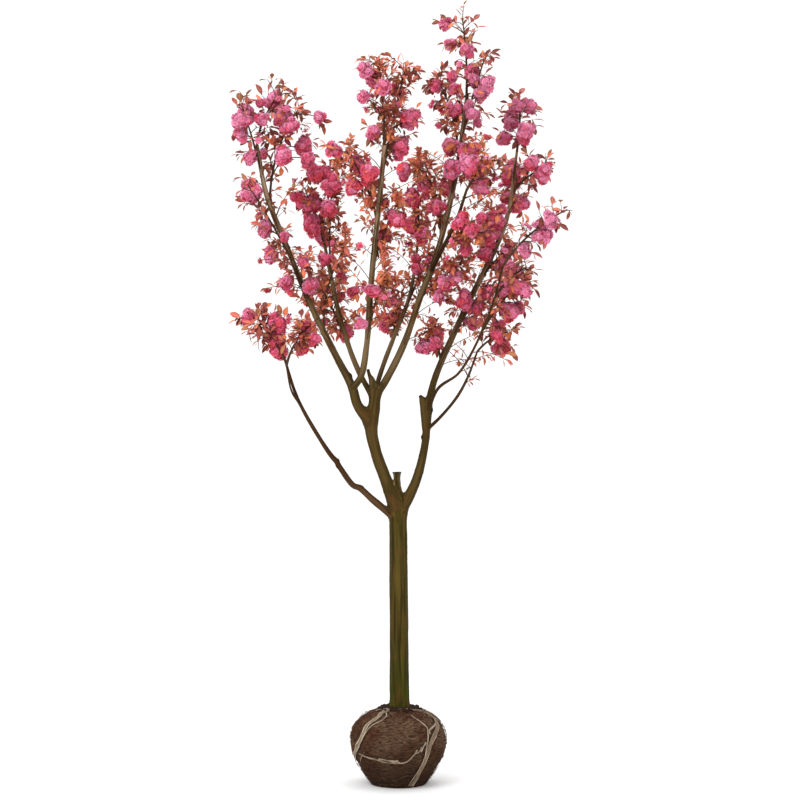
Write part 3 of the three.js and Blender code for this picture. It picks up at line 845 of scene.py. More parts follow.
@dataclass(frozen=True)
class Limb:
    """One tapering limb through stations (x, y, z, radius), clad in bark and leafy from a height on."""

    name: str
    bark: Bark
    sides: int
    stations: tuple[tuple[float, float, float, float], ...]
    scars: tuple[Scar, ...] = ()
    sawn: bool = False
    lumps: float = 0.05
    ring_gap: float = 6.0
    leafy_from: float = 2200.0
    root_bend: tuple[float, ...] = (75.0, 50.0, 25.0)
    fine_steps: int = 400
    fewest_rings: int = 6
    near: float = 0.002

    def at(self, shares: Array) -> tuple[Array, Array]:
        """Places along the limb, in metres.

        Args:
            shares: from 0, the first station, to 1, the last.

        Returns:
            Points (share, 3) and radii.
        """
        stations = np.array(self.stations, float) * MM
        radii = np.interp(shares * (len(stations) - 1), np.arange(len(stations)), stations[:, 3])
        return station_curve(stations[:, :3], shares), radii

    def heading(self, share: float) -> Array:
        """The limb's direction at a share of its length."""
        points, _ = self.at(np.clip(np.array([share - self.near, share + self.near]), 0.0, 1.0))
        return unit(points[1] - points[0])

    def even_shares(self, gap: float) -> Array:
        """Places that lie evenly along the limb.

        Args:
            gap: how far apart, in metres.

        Returns:
            Their shares.
        """
        shares = np.linspace(0.0, 1.0, self.fine_steps)
        distance = distances(self.at(shares)[0])
        count = max(int(distance[-1] / gap), self.fewest_rings)
        return np.interp(np.linspace(0.0, distance[-1], count), distance, shares)

    def rings(self) -> tuple[Array, Array, Array]:
        """The bark's rings, led by a round root inside what carries the limb.

        Returns:
            Their shares, points and radii.
        """
        shares = self.even_shares(self.ring_gap * MM)
        points, radii = self.at(shares)
        if self.bark is Bark.TRUNK:
            return shares, points, radii
        bend = np.radians(self.root_bend)
        root = points[0] - np.outer(np.sin(bend) * radii[0], self.heading(0.0))
        shares = np.concatenate([np.zeros(len(bend)), shares])
        return shares, np.vstack([root, points]), np.concatenate([np.cos(bend) * radii[0], radii])

    def build(self, seed: int, timber: "Timber") -> Shape:
        """The limb's bark.

        The radius is the taper, plus lumps, long ridges, cross bands where noise is high, rings where a
        year's growth ended, a bell-shaped bump for each scar, a lip where it is sawn, and the forks' hollows.

        Args:
            seed: which noise to read.
            timber: the limbs that it grows among.

        Returns:
            The closed bark surface, with its grain and how dark it is cut.
        """
        shares, points, radii = self.rings()
        distance = distances(points)[:, None]
        angle = np.linspace(0.0, TURN, self.sides, endpoint=False)[None]
        taper = np.broadcast_to(radii[:, None], (len(shares), self.sides))
        place = np.stack(np.broadcast_arrays(np.cos(angle) * taper, np.sin(angle) * taper, distance), -1)
        thick = np.minimum(taper / (RELIEF.full_radius * MM), 1.0)
        lumps = self.lumps * taper * lattice_noise(place / (RELIEF.lump_size * MM), seed)
        ridges = layered_noise(place / (np.array(RELIEF.ridge_size) * MM), seed + 10)
        ridges = RELIEF.ridge_height * MM * thick * ridges
        bands = lattice_noise(place / (np.array(RELIEF.band_size) * MM), seed + 20)
        bands = RELIEF.band_height * MM * thick * np.clip(bands - RELIEF.band_from, 0.0, 1.0)
        yearly = lattice_noise(distance[..., None] * AXIS_X / (RELIEF.year_gap * MM), seed + 30)
        rings = RELIEF.year_swell * taper * np.clip(yearly - RELIEF.year_from, 0.0, 1.0)
        rings = rings * (self.bark is not Bark.TRUNK)
        bumps = np.zeros_like(taper)
        cut = np.zeros_like(taper)
        for scar in self.scars:
            spot = np.interp(scar.share, shares, distance[:, 0])
            turned = (angle - np.radians(90 + scar.turn) + np.pi) % TURN - np.pi
            reach = ((distance - spot) ** 2 + (turned * taper) ** 2) / (scar.size * MM) ** 2
            bumps = bumps + scar.height * MM * np.exp(-reach)
            cut = np.maximum(cut, scar.dark * np.exp(-(reach**2)))
        if self.sawn:
            left = distance[-1] - distance
            bumps = bumps + RELIEF.lip_swell * taper * np.exp(-((left / (RELIEF.lip_reach * MM)) ** 2))
            cut = np.maximum(cut, np.exp(-((left / (RELIEF.cut_reach * MM)) ** 2)))
        surface = taper + lumps + ridges + bands + rings + bumps
        ways = ring_ways(points[None], self.sides)[0]
        surface = surface + timber.web(self.name, points[:, None] + surface[..., None] * ways, ways, taper)
        return tubes(points[None], surface[None], self.sides, {"cut": cut[None]})


LIMBS = {limb.name: limb for limb in (
    Limb("trunk", Bark.TRUNK, 72, (
        (5, 0, 392.3, 58), (5, 0, 440, 51), (2, 0, 900, 48), (-2, 0, 1370, 46),
        (-4, 0, 1470, 34), (-6, 0, 1545, 18.5), (-7, 0, 1585, 16), (-8, 0, 1618, 21)),
         sawn=True, lumps=0.015),
    Limb("bough_left", Bark.BOUGH, 56, (
        (-8, 0, 1420, 40), (-72, 5, 1595, 31), (-120, 10, 1730, 29),
        (-142, 15, 1845, 33.5), (-129, 20, 1945, 34), (-118, 25, 2050, 24))),
    Limb("bough_right", Bark.BOUGH, 44, (
        (12, 0, 1410, 30), (89, 18, 1565, 24), (140, 45, 1770, 20), (150, 65, 1915, 23),
        (190, 88, 2100, 17), (330, 135, 2425, 15.5), (568, 205, 2935, 13), (630, 250, 3310, 6.5)),
         (Scar(0.31, -80, 11, 7, 1.0), Scar(0.45, 75, 14, 6, 1.0), Scar(0.16, 40, 11, 3, 0.5)),
         leafy_from=1990.0),
    Limb("bough_low_left", Bark.RUDDY, 36, (
        (-8, 0, 1372, 21), (-130, -32, 1473, 17.5), (-200, -48, 1536, 16), (-234, -58, 1551, 15.5),
        (-297, -75, 1637, 14.5), (-319, -83, 1673, 14), (-357, -95, 1720, 12.5), (-512, -155, 1990, 8.5),
        (-582, -200, 2205, 6.5)),
         (Scar(0.24, 130, 12, 5, 0.2), Scar(0.63, 120, 10, 6, 0.4), Scar(0.56, -60, 12, 4, 0.2))),
    Limb("bough_left_outer", Bark.BOUGH, 44, (
        (-153, 10, 1885, 31), (-215, 15, 1970, 25), (-240, 25, 2055, 23), (-325, 35, 2220, 18),
        (-468, 55, 2510, 15), (-590, 75, 2810, 14.5), (-690, 95, 3060, 13), (-744, 110, 3330, 9.5)),
         (Scar(0.34, 85, 14, 7, 0.9),)),
    Limb("bough_crown", Bark.BOUGH, 40, (
        (-115, 20, 2015, 20), (-60, 25, 2105, 18.5), (25, 25, 2275, 17), (121, 35, 2550, 16.5),
        (190, 40, 2720, 16), (300, 50, 3170, 14), (355, 60, 3560, 9)),
         (Scar(0.1, -40, 14, 5, 0.6),)),
    Limb("bough_centre", Bark.BOUGH, 32, (
        (-240, 10, 2050, 17), (-195, -15, 2115, 17), (-165, -65, 2275, 15.5),
        (-140, -160, 2590, 15), (-95, -295, 3010, 13.5), (-70, -380, 3270, 10.5))),
    Limb("bough_back_left", Bark.BOUGH, 28, (
        (-135, 25, 2010, 16), (-205, 95, 2135, 14.5), (-260, 165, 2270, 14),
        (-320, 260, 2465, 13), (-400, 430, 2830, 9.5))),
    Limb("bough_back_right", Bark.BOUGH, 28, (
        (-120, 25, 2045, 13), (-85, 90, 2160, 13), (-25, 180, 2325, 12),
        (60, 300, 2550, 10.5), (100, 430, 2805, 7.5))),
    Limb("crown_side", Bark.RUDDY, 20, (
        (155, 45, 2640, 11), (215, -35, 2750, 10.5), (300, -160, 2920, 9), (345, -260, 3055, 6.5))),
    Limb("bough_right_front", Bark.RUDDY, 20, (
        (150, 64, 1920, 9), (205, 5, 2050, 8), (310, -90, 2130, 7),
        (400, -200, 2285, 6), (480, -305, 2490, 5), (525, -390, 2665, 4)), leafy_from=2020.0),
    Limb("bough_right_low", Bark.RUDDY, 20, (
        (147, 55, 1835, 9), (215, 20, 1900, 8.5), (305, -35, 2010, 7.5),
        (360, -80, 2115, 6.5), (405, -110, 2240, 5)), leafy_from=1990.0),
    Limb("low_left_fork", Bark.RUDDY, 16, (
        (-505, -150, 1970, 6), (-545, -180, 2035, 5), (-570, -230, 2165, 4))),
    Limb("stub_hub", Bark.BOUGH, 28, (
        (-132, 22, 2020, 20), (-138, 18, 2095, 17), (-150, 14, 2120, 10), (-159, 10, 2152, 7)),
         sawn=True),
    Limb("stub_right", Bark.BOUGH, 28, (
        (146, 60, 1850, 18), (138, 62, 1932, 23), (127, 66, 1990, 19), (112, 62, 2016, 6)), sawn=True),
)}


@dataclass
class Timber:
    """The trunk and boughs."""

    limbs: dict[str, Limb] = field(default_factory=lambda: LIMBS)
    spans_per_limb: int = 40
    web_rounds: int = 4
    web_reach: float = 0.5

    def build(self) -> None:
        """One bark piece in place of each limb's solid."""
        finishes = {bark: bark.value.material() for bark in (Bark.TRUNK, Bark.BOUGH, Bark.RUDDY)}
        for seed, limb in enumerate(self.limbs.values()):
            limb.build(100 * seed, self).piece(f"{limb.name}_bark", finishes[limb.bark], "bark", [limb.name])

    def spans(self, limb: Limb) -> tuple[Array, Array]:
        """Points and radii at the ends of a limb's straight spans."""
        return limb.at(np.linspace(0.0, 1.0, self.spans_per_limb + 1))

    def nearest(self, points: Array, but: str = "") -> tuple[Array, Array]:
        """The nearest limb to points, each limb taken as a row of straight spans.

        Args:
            points: places (point, 3).
            but: the name of a limb that doesn't count.

        Returns:
            How far each point lies outside that limb, and the limb's radius there.
        """
        rows = np.arange(len(points))
        least = np.full(len(points), np.inf)
        thick = np.zeros(len(points))
        for limb in self.limbs.values():
            if limb.name == but:
                continue
            axis, radii = self.spans(limb)
            share, apart = along_spans(points, axis)
            radius = radii[:-1] + share * np.diff(radii)
            gap = apart - radius
            closest = gap.argmin(axis=1)
            nearer = gap[rows, closest] < least
            least = np.where(nearer, gap[rows, closest], least)
            thick = np.where(nearer, radius[rows, closest], thick)
        return least, thick

    def web(self, name: str, walls: Array, ways: Array, taper: Array) -> Array:
        """How far a limb's wall moves out so that it runs into its neighbours in a hollow curve.

        A point moves out by t until the smooth least of t and its gap to the nearest other limb is nought.
        That is the smaller of the two, less (k - difference) squared over 4k where they differ by less than
        k, the smaller radius of the two limbs.

        Args:
            name: the limb.
            walls: its points (ring, side, 3).
            ways: the directions in which they move (ring, side, 3).
            taper: its radius at each point (ring, side).

        Returns:
            The move of each point (ring, side).
        """
        points, ways, thick = walls.reshape(-1, 3), ways.reshape(-1, 3), taper.ravel()
        move = np.zeros(len(points))
        near = np.abs(self.nearest(points, name)[0]) < thick
        for _ in range(self.web_rounds):
            gap, other = self.nearest(points[near] + move[near, None] * ways[near], name)
            k = np.minimum(thick[near], other)
            overlap = np.maximum(k - np.abs(move[near] - gap), 0.0)
            smooth = np.minimum(move[near], gap) - overlap**2 / (4.0 * k)
            move[near] = np.clip(move[near] - smooth, 0.0, self.web_reach * k)
        return move.reshape(taper.shape)

    def hides(self, points: Array, margin: float) -> Array:
        """Whether points lie before a limb, as seen from the front.

        Args:
            points: places (point, 3).
            margin: how far beside the limb still counts.

        Returns:
            True for each point that does.
        """
        flat = drawn(points)
        hiding = np.zeros(len(points), bool)
        for limb in self.limbs.values():
            axis, radii = self.spans(limb)
            _, apart = along_spans(flat, drawn(axis))
            before = points[:, 1:2] < axis[:-1, 1]
            hiding |= np.any((apart < radii[:-1] + margin) & before, axis=1)
        return hiding


# Root ball and its ties


@dataclass(frozen=True)
class Tie:
    """Bast ribbons side by side along one route.

    The route is given by degrees from the front and heights, a ribbon by its offset, width and shade.
    """

    name: str
    route: tuple[Span, ...]
    ribbons: tuple[Triple, ...]
    lift: float = 3.0


BROAD = ((-10.5, 6.0, 0.0), (0.0, 15.0, 0.75), (10.5, 6.0, 0.1))
TIES = (
    Tie("strap_left", (
        (-44, 388), (-38, 368), (-47, 328), (-49, 285), (-54, 232), (-70, 165), (-92, 80)), BROAD),
    Tie("strap_right", (
        (50, 389), (70, 375), (70, 345), (56, 300), (42, 256), (36, 190), (31, 93), (24, 12)),
        ((-11.0, 4.5, 0.25), (0.0, 17.0, 0.95), (11.0, 4.5, 0.2))),
    Tie("strap_shoulder", (
        (98, 384), (96, 340), (92, 280), (92, 235), (98, 150)), ((-6, 10.0, 0.2), (6.5, 9.0, 0.6))),
    Tie("strap_front", (
        (-56, 176), (-45, 172), (-28, 160), (-13, 148), (-2, 146), (9, 154), (18, 185), (22, 215)),
        ((-2.0, 3.5, 0.15), (2.5, 3.0, 0.6))),
    Tie("strap_back_left", ((-140, 387), (-138, 300), (-146, 170), (-150, 12)), BROAD),
    Tie("strap_back_right", ((140, 387), (136, 300), (130, 170), (124, 12)), BROAD),
)
STRANDS = (
    Tie("strand_right", (
        (24, 372), (34, 339), (39, 316), (37, 284), (34, 240), (33, 176)), ((0, 5.5, 0.0),), 5.0),
    Tie("strand_fork", ((71, 350), (80, 325), (90, 282), (90, 240), (94, 200)), ((0, 6.0, 0.1),), 5.0),
    Tie("strand_inner", ((67, 338), (54, 318), (42, 302), (40, 285)), ((0, 8.0, 0.35),), 6.0),
    Tie("strand_left", (
        (-36, 391), (-22, 368), (-40, 318), (-45, 279), (-50, 238), (-66, 165)), ((0, 4.5, 0.0),), 6.0),
    Tie("strand_knot", ((-62, 380), (-44, 390), (-30, 386), (-34, 374)), ((0, 6.0, 0.2), (6, 4.0, 0.6)), 7.0),
    Tie("strand_cross", ((-20, 390), (5, 391.5), (30, 391), (52, 388)), ((0, 4.0, 0.1),), 6.0),
    Tie("strand_thread", ((-44, 195), (-53, 160), (-63, 121)), ((0, 2.0, 0.2),), 3.0),
    Tie("shred_front", ((-24, 166), (-16, 160), (-8, 154), (0, 158)), ((0, 7.0, 0.0), (5, 4.0, 0.5)), 5.0),
    Tie("shred_middle", ((-12, 162), (-5, 160), (2, 152)), ((0, 5.0, 0.1),), 5.0),
    Tie("shred_side", ((32, 250), (29, 232), (26, 205)), ((0, 6.0, 0.3), (6, 4.0, 0.1)), 4.0),
    Tie("shred_low", ((27, 226), (25, 208), (21, 195)), ((0, 5.0, 0.2),), 4.0),
)


@dataclass
class RootBall:
    """Earth and rootlets: a lumpy turned form on a flat underside, with clods where the trunk comes out."""

    height: float = 392.0
    waist_height: float = 235.0
    foot_radius: float = 143.0
    waist_radius: float = 252.0
    top_radius: float = 60.0
    lumps: tuple[Triple, ...] = ((2, 1.0, 0.02), (3, 0.5, 0.015))
    rings: int = 150
    sides: int = 280
    rootlets: int = 700
    clods: int = 220
    clod_size: Span = (5.0, 13.0)
    clod_squash: Span = (0.7, 1.2)
    clod_near: float = 56.0
    clod_spread: float = 62.0
    coarse_height: float = 5.0
    coarse_size: float = 70.0
    fibre_height: float = 2.0
    fibre_size: Triple = (22.0, 22.0, 6.0)
    crumb_height: float = 1.0
    crumb_size: float = 6.0
    groove_depth: float = 6.0
    groove_reach: float = 18.0
    fade_height: float = 25.0
    grain_radius: float = 0.25
    rootlet_rings: int = 7
    rootlet_run: Span = (0.08, 0.3)
    rootlet_climb: float = 16.0
    rootlet_sway: float = 7.0
    rootlet_lift: Span = (2.0, 6.0)
    rootlet_radius: Span = (0.6, 1.5)
    fine_steps: int = 2000
    seed: int = 5

    def __post_init__(self) -> None:
        """Starts the seeded numbers that rootlets and clods draw from, in order."""
        self.rng = np.random.default_rng(self.seed)

    def radius(self, angle: Array, height: Array) -> Array:
        """Radius in millimetres: a quarter sine up to the waist, a quarter ellipse above it, times waves.

        Args:
            angle: angles from the front.
            height: heights in millimetres.

        Returns:
            The radii.
        """
        wave = 1.0 + sum(depth * np.sin(count * angle + phase) for count, phase, depth in self.lumps)
        low = np.sin(np.clip(height / self.waist_height, 0, 1) * np.pi / 2)
        share = np.clip((height - self.waist_height) / (self.height - self.waist_height), 0, 1)
        below = self.foot_radius + (self.waist_radius - self.foot_radius) * low * wave
        above = self.top_radius + (self.waist_radius - self.top_radius) * np.sqrt(1 - share**2) * wave
        return np.where(height < self.waist_height, below, above)

    def surface(self, angle: Array, height: Array) -> Array:
        """Points in metres at angles from the front and heights in millimetres."""
        radius = self.radius(angle, height)
        parts = (radius * np.sin(angle), -radius * np.cos(angle), height * np.ones_like(radius))
        return np.stack(parts, -1) * MM

    def normal(self, angle: Array, height: Array) -> Array:
        """Outward directions: the surface's slope round the ball crossed with its slope upwards.

        Args:
            angle: angles from the front.
            height: heights in millimetres.

        Returns:
            The directions (..., 3).
        """
        lower = np.clip(height - 1.0, 0.0, self.height - 2.0)
        across = self.surface(angle + 0.01, height) - self.surface(angle - 0.01, height)
        upward = self.surface(angle, lower + 2.0) - self.surface(angle, lower)
        return unit(np.cross(across, upward))

    def meridian(self) -> Array:
        """Heights whose places lie evenly along the ball's outline, from foot to top."""
        fine = self.height * np.sin(np.linspace(0.0, np.pi / 2, self.fine_steps))
        distance = distances(self.surface(np.zeros_like(fine), fine))
        return np.interp(np.linspace(0.0, distance[-1], self.rings), distance, fine)

    def earth(self, pressed: Array) -> Shape:
        """The ball's surface, moved along its normal.

        The move is coarse noise, plus fibres drawn out round the ball, plus crumbs, less a groove under each
        tie. It fades out at the foot, so the underside stays flat.

        Args:
            pressed: points along the ties (point, 3).

        Returns:
            The closed surface.
        """
        heights = self.meridian()[:, None]
        angles = np.linspace(0.0, TURN, self.sides, endpoint=False)[None]
        angle, height = np.broadcast_arrays(angles, heights)
        base = self.surface(angle, height)
        coarse = self.coarse_height * MM * layered_noise(base / (self.coarse_size * MM), self.seed)
        fibres = layered_noise(base / (np.array(self.fibre_size) * MM), self.seed + 10, 2)
        fibres = self.fibre_height * MM * fibres
        crumbs = self.crumb_height * MM * lattice_noise(base / (self.crumb_size * MM), self.seed + 20)
        nearest = np.min([np.sum((base - point) ** 2, -1) for point in pressed], axis=0)
        groove = self.groove_depth * MM * np.exp(-nearest / (self.groove_reach * MM) ** 2)
        fade = np.clip(height / self.fade_height, 0.0, 1.0)
        wall = base + self.normal(angle, height) * (fade * (coarse + fibres + crumbs - groove))[..., None]
        grain = (self.grain_radius * np.sin(angle), self.grain_radius * np.cos(angle), height * MM)
        grain = np.stack(grain, -1)
        foot = np.zeros(3)
        top = AXIS_Z * self.height * MM
        return closed_walls(wall[None], foot[None], top[None], {"grain": grain[None]})

    def rootlet_tubes(self) -> Shape:
        """Thin roots that creep over the ball: each wanders round and up or down from a random start.

        Returns:
            All roots as one shape.
        """
        each = (self.rootlets, 1)
        start = self.rng.uniform(0.0, TURN, each)
        height = self.rng.uniform(15.0, self.height - 12.0, each)
        t = np.linspace(0.0, 1.0, self.rootlet_rings)[None]
        run = self.rng.uniform(*self.rootlet_run, each) * self.rng.choice([-1, 1], each)
        climb = self.rng.uniform(-self.rootlet_climb, self.rootlet_climb, each) * t
        sway = self.rng.uniform(-self.rootlet_sway, self.rootlet_sway, each) * np.sin(np.pi * 2 * t)
        angles = start + run * t
        heights = np.clip(height + (climb + sway), 8.0, self.height - 4.0)
        lift = self.rng.uniform(*self.rootlet_lift, each) * np.sin(np.pi * (0.1 + 0.8 * t))
        paths = self.surface(angles, heights) + self.normal(angles, heights) * (lift * MM)[..., None]
        radii = self.rng.uniform(*self.rootlet_radius, each) * MM * (1.0 - 0.6 * t)
        return tubes(paths, radii[..., None], 3)

    def clod_heap(self) -> Shape:
        """Crumbs of earth thrown on a ring round the trunk's foot: small balls made uneven by noise.

        Returns:
            All crumbs as one shape.
        """
        turn, rise = np.meshgrid(np.linspace(0, TURN, 6, endpoint=False), np.radians((-50, 0, 50)))
        ball = np.stack([np.cos(turn) * np.cos(rise), np.sin(turn) * np.cos(rise), np.sin(rise)], -1)
        ball = ball * (1.0 + 0.3 * lattice_noise(ball * 1.7, self.seed))[..., None]
        shape = closed_walls(ball[None], -AXIS_Z[None], AXIS_Z[None], {"grain": ball[None]})
        angle = self.rng.uniform(0.0, TURN, self.clods)
        reach = self.clod_near + self.clod_spread * self.rng.random(self.clods) ** 2.2
        share = np.clip((reach - self.top_radius) / (self.waist_radius - self.top_radius), 0.0, 1.0)
        height = self.waist_height + (self.height - self.waist_height) * np.sqrt(1 - share**2)
        origins = np.stack([reach * np.sin(angle), -reach * np.cos(angle), height + 1.0], -1) * MM
        sizes = self.rng.uniform(*self.clod_size, self.clods) * MM
        axes = unit(self.rng.normal(size=(self.clods, 3)))
        frames = frames_about(axes, self.rng.uniform(0, TURN, self.clods))
        squash = sizes[:, None] * self.rng.uniform(*self.clod_squash, (self.clods, 3))
        return shape.placed(origins, frames * squash[:, None])

    def build(self, ties: "BastTies") -> None:
        """The ball's pieces in place of its solid.

        Args:
            ties: the bast that presses into it.
        """
        pressed = np.concatenate([ties.route(tie)[0][::3] for tie in TIES])
        self.earth(pressed).piece("ball_earth", EARTH.material(), "soil", ["root_ball"])
        self.rootlet_tubes().piece("ball_rootlets", ROOTLET.material(), "soil")
        self.clod_heap().piece("ball_crust", CRUST.material(), "soil")


@dataclass
class BastTies:
    """Straps, strands and torn shreds of bast over the ball."""

    ball: RootBall
    steps: int = 60
    thick: float = 1.6
    wander: float = 3.0
    wander_length: float = 45.0
    width_swing: float = 0.25
    stack: float = 1.2
    flutter: float = 1.5
    sides: int = 10
    strap_seed: int = 40
    strand_seed: int = 90
    seed_step: int = 5

    def route(self, tie: Tie) -> tuple[Array, Array, Array]:
        """A tie's middle line on the ball.

        Args:
            tie: the tie.

        Returns:
            Points, outward directions and directions across it, each (step, 3).
        """
        stations = np.array([(angle, height, 0.0) for angle, height in tie.route], float)
        line = station_curve(stations, np.linspace(0.0, 1.0, self.steps))
        angle, height = np.radians(line[:, 0]), np.clip(line[:, 1], 6.0, self.ball.height - 1.0)
        points = self.ball.surface(angle, height)
        out = self.ball.normal(angle, height)
        along = unit(np.gradient(points, axis=0))
        return points, out, unit(np.cross(out, along))

    def ribbons(self, tie: Tie, seed: int) -> Shape:
        """A tie's ribbons: thin lenses carried along the middle line, each at an offset that wanders.

        Args:
            tie: the route and the ribbons.
            seed: which noise moves them.

        Returns:
            The closed ribbons, with their grain and shade.
        """
        points, out, across = self.route(tie)
        angle = np.linspace(0.0, TURN, self.sides, endpoint=False)
        distance = distances(points)
        walls, grains, shades, middles = [], [], [], []
        for k, (offset, width, shade) in enumerate(tie.ribbons):
            track = (distance / (self.wander_length * MM), np.full_like(distance, 7.3 * k), distance * 0)
            track = np.stack(track, -1)
            shift = offset + self.wander * lattice_noise(track, seed) * min(1.0, len(tie.ribbons) - 0.6)
            half = 0.5 * width * (1.0 + self.width_swing * lattice_noise(track * 1.7, seed + 1))
            rise = tie.lift + (self.stack * k) % 2 + self.flutter * lattice_noise(track * 2.3, seed + 2)
            middle = points + across * (shift * MM)[:, None] + out * (rise * MM)[:, None]
            flat = np.cos(angle)[None] * half[:, None] * MM
            deep = np.sin(angle)[None] * (0.5 * self.thick * MM) * np.ones_like(flat)
            walls.append(middle[:, None] + flat[..., None] * across[:, None] + deep[..., None] * out[:, None])
            grains.append(np.stack(np.broadcast_arrays(flat + k, deep, distance[:, None]), -1))
            shades.append(np.full(flat.shape, shade))
            middles.append(middle)
        ends = np.array(middles)
        values = {"grain": np.array(grains), "shade": np.array(shades)}
        return closed_walls(np.array(walls), ends[:, 0], ends[:, -1], values)

    def build(self) -> None:
        """One piece in place of each strap's solid, and one of loose strands."""
        finish = BAST.material()
        for seed, tie in enumerate(TIES):
            shape = self.ribbons(tie, self.strap_seed + self.seed_step * seed)
            shape.piece(f"{tie.name}_bast", finish, "bast", [tie.name])
        seeds = self.strand_seed + self.seed_step * np.arange(len(STRANDS))
        strands = [self.ribbons(tie, int(seed)) for tie, seed in zip(STRANDS, seeds)]
        Shape.joined(strands).piece("bast_strands", finish, "bast")


# Crown


class Draw(IntEnum):
    """Which of a spray's seeded draws a value of its growth reads, as in the solids."""

    TWIG_TURN = 2
    SPUR_PLACE = 100
    SPUR_TURN = 200
    SPUR_TILT = 300
    SPUR_LENGTH = 400
    TWIG_TILT = 500
    TWIG_LENGTH = 600
    HEAD_RADIUS = 700


@dataclass(frozen=True)
class Spray:
    """One spray: its limb and where along it, its stem's tip, its heads, their reach, and its seed."""

    limb: str
    name: str
    at: float
    tip: Triple
    heads: int
    reach: float
    seed: int


SPRAYS = tuple(Spray(limb, *row) for limb, rows in {
    "bough_right": (
        ("right_top", 1, (660, 390, 3590), 5, 105, 3885),
        ("right_upper", 0.91, (775, 195, 3225), 3, 160, 3633),
        ("right_back", 0.86, (635, 500, 3160), 3, 80, 515),
        ("right_mid", 0.82, (500, 65, 2980), 3, 105, 1679),
        ("right_fill", 0.77, (590, 125, 2805), 3, 80, 4595),
        ("right_inner", 0.67, (455, -75, 2585), 4, 80, 832),
        ("right_low_left", 0.61, (165, 65, 2350), 3, 80, 4826),
    ),
    "bough_low_left": (("left_low", 1, (-735, -135, 2420), 5, 105, 3847),),
    "bough_left_outer": (
        ("left_shoulder", 0.83, (-520, 150, 3540), 5, 160, 1342),
        ("left_top", 1, (-615, 215, 3630), 4, 130, 3807),
        ("left_top_outer", 0.91, (-820, 30, 3540), 3, 80, 884),
        ("left_flank", 0.65, (-780, -70, 3105), 3, 160, 4579),
        ("left_lower_inner", 0.56, (-575, -60, 2755), 3, 160, 1121),
        ("left_mid", 0.49, (-275, 80, 2800), 3, 160, 997),
    ),
    "bough_crown": (
        ("crown_top", 1, (335, 95, 3995), 5, 105, 4021),
        ("crown_top_right", 0.9, (450, -30, 3770), 3, 80, 1085),
        ("crown_top_left", 0.87, (200, 195, 3710), 3, 130, 2172),
        ("crown_mid", 0.79, (325, -160, 3345), 3, 80, 1060),
        ("crown_inner", 0.71, (115, 345, 3255), 3, 130, 1293),
        ("crown_low", 0.47, (325, -60, 2695), 3, 105, 3010),
    ),
    "bough_centre": (
        ("centre_left", 0.74, (-255, -395, 3230), 4, 160, 3021),
        ("centre_top", 1, (-100, -445, 3660), 5, 160, 422),
        ("centre_top_right", 0.84, (35, -275, 3670), 4, 130, 3639),
        ("centre_mid", 0.63, (5, -280, 3010), 3, 160, 4213),
        ("centre_low", 0.43, (-55, -405, 2640), 2, 160, 2929),
    ),
    "bough_back_left": (
        ("left_inner", 1, (-510, 410, 3140), 3, 80, 1502),
        ("left_back", 0.88, (-345, 385, 3265), 4, 160, 3715),
        ("back_left_low", 0.46, (-430, 470, 2635), 3, 160, 2348),
    ),
    "bough_back_right": (
        ("back_right_low", 0.46, (-20, 350, 2550), 3, 80, 2803),
        ("back_right_mid", 0.68, (180, 340, 2790), 2, 105, 2438),
        ("back_right_top", 1, (100, 555, 3280), 4, 80, 4417),
    ),
    "crown_side": (
        ("crown_side_tip", 1, (455, -215, 3210), 3, 105, 3871),
        ("crown_side_low", 0.42, (425, -265, 2840), 3, 105, 3316),
    ),
    "bough_right_front": (
        ("right_tip", 1, (840, -455, 2940), 3, 80, 3397),
        ("right_outer", 0.82, (655, -210, 2670), 3, 80, 418),
        ("right_outer_low", 0.66, (620, -100, 2595), 3, 130, 2915),
    ),
    "bough_right_low": (("right_low", 1, (545, -60, 2335), 2, 130, 3411),),
    "low_left_fork": (("left_low_inner", 1, (-405, -235, 2410), 3, 80, 2135),),
}.items() for row in rows)


@dataclass(frozen=True)
class Shoot:
    """A kind of twig: radii at foot and end, ranges of tilt, length and leaves, and its chance of flowers."""

    radii: Span
    tilt: Span
    length: Span
    leaves: tuple[int, int]
    bloom: float = 0.0


SIDE_TWIG = Shoot((2.4, 1.5), (40.0, 75.0), (0.45, 1.05), (6, 12), 0.3)  # length as a share of its reach
SIDE_SHOOT = Shoot((1.6, 1.1), (35.0, 60.0), (25.0, 60.0), (3, 6))
HEAD_SHOOT = Shoot((1.6, 1.1), (10.0, 100.0), (0.75, 1.1), (2, 5))  # length as a share of its head's radius
LIMB_SPUR = Shoot((2.2, 1.4), (45.0, 80.0), (25.0, 255.0), (3, 6), 0.25)


@dataclass
class Batches:
    """Arrays that grow batch by batch."""

    batches: list[tuple[Array, ...]] = field(default_factory=list)

    def stacked(self) -> tuple[Array, ...]:
        """Each array, joined over all batches."""
        return tuple(np.concatenate(rows) for rows in zip(*self.batches))


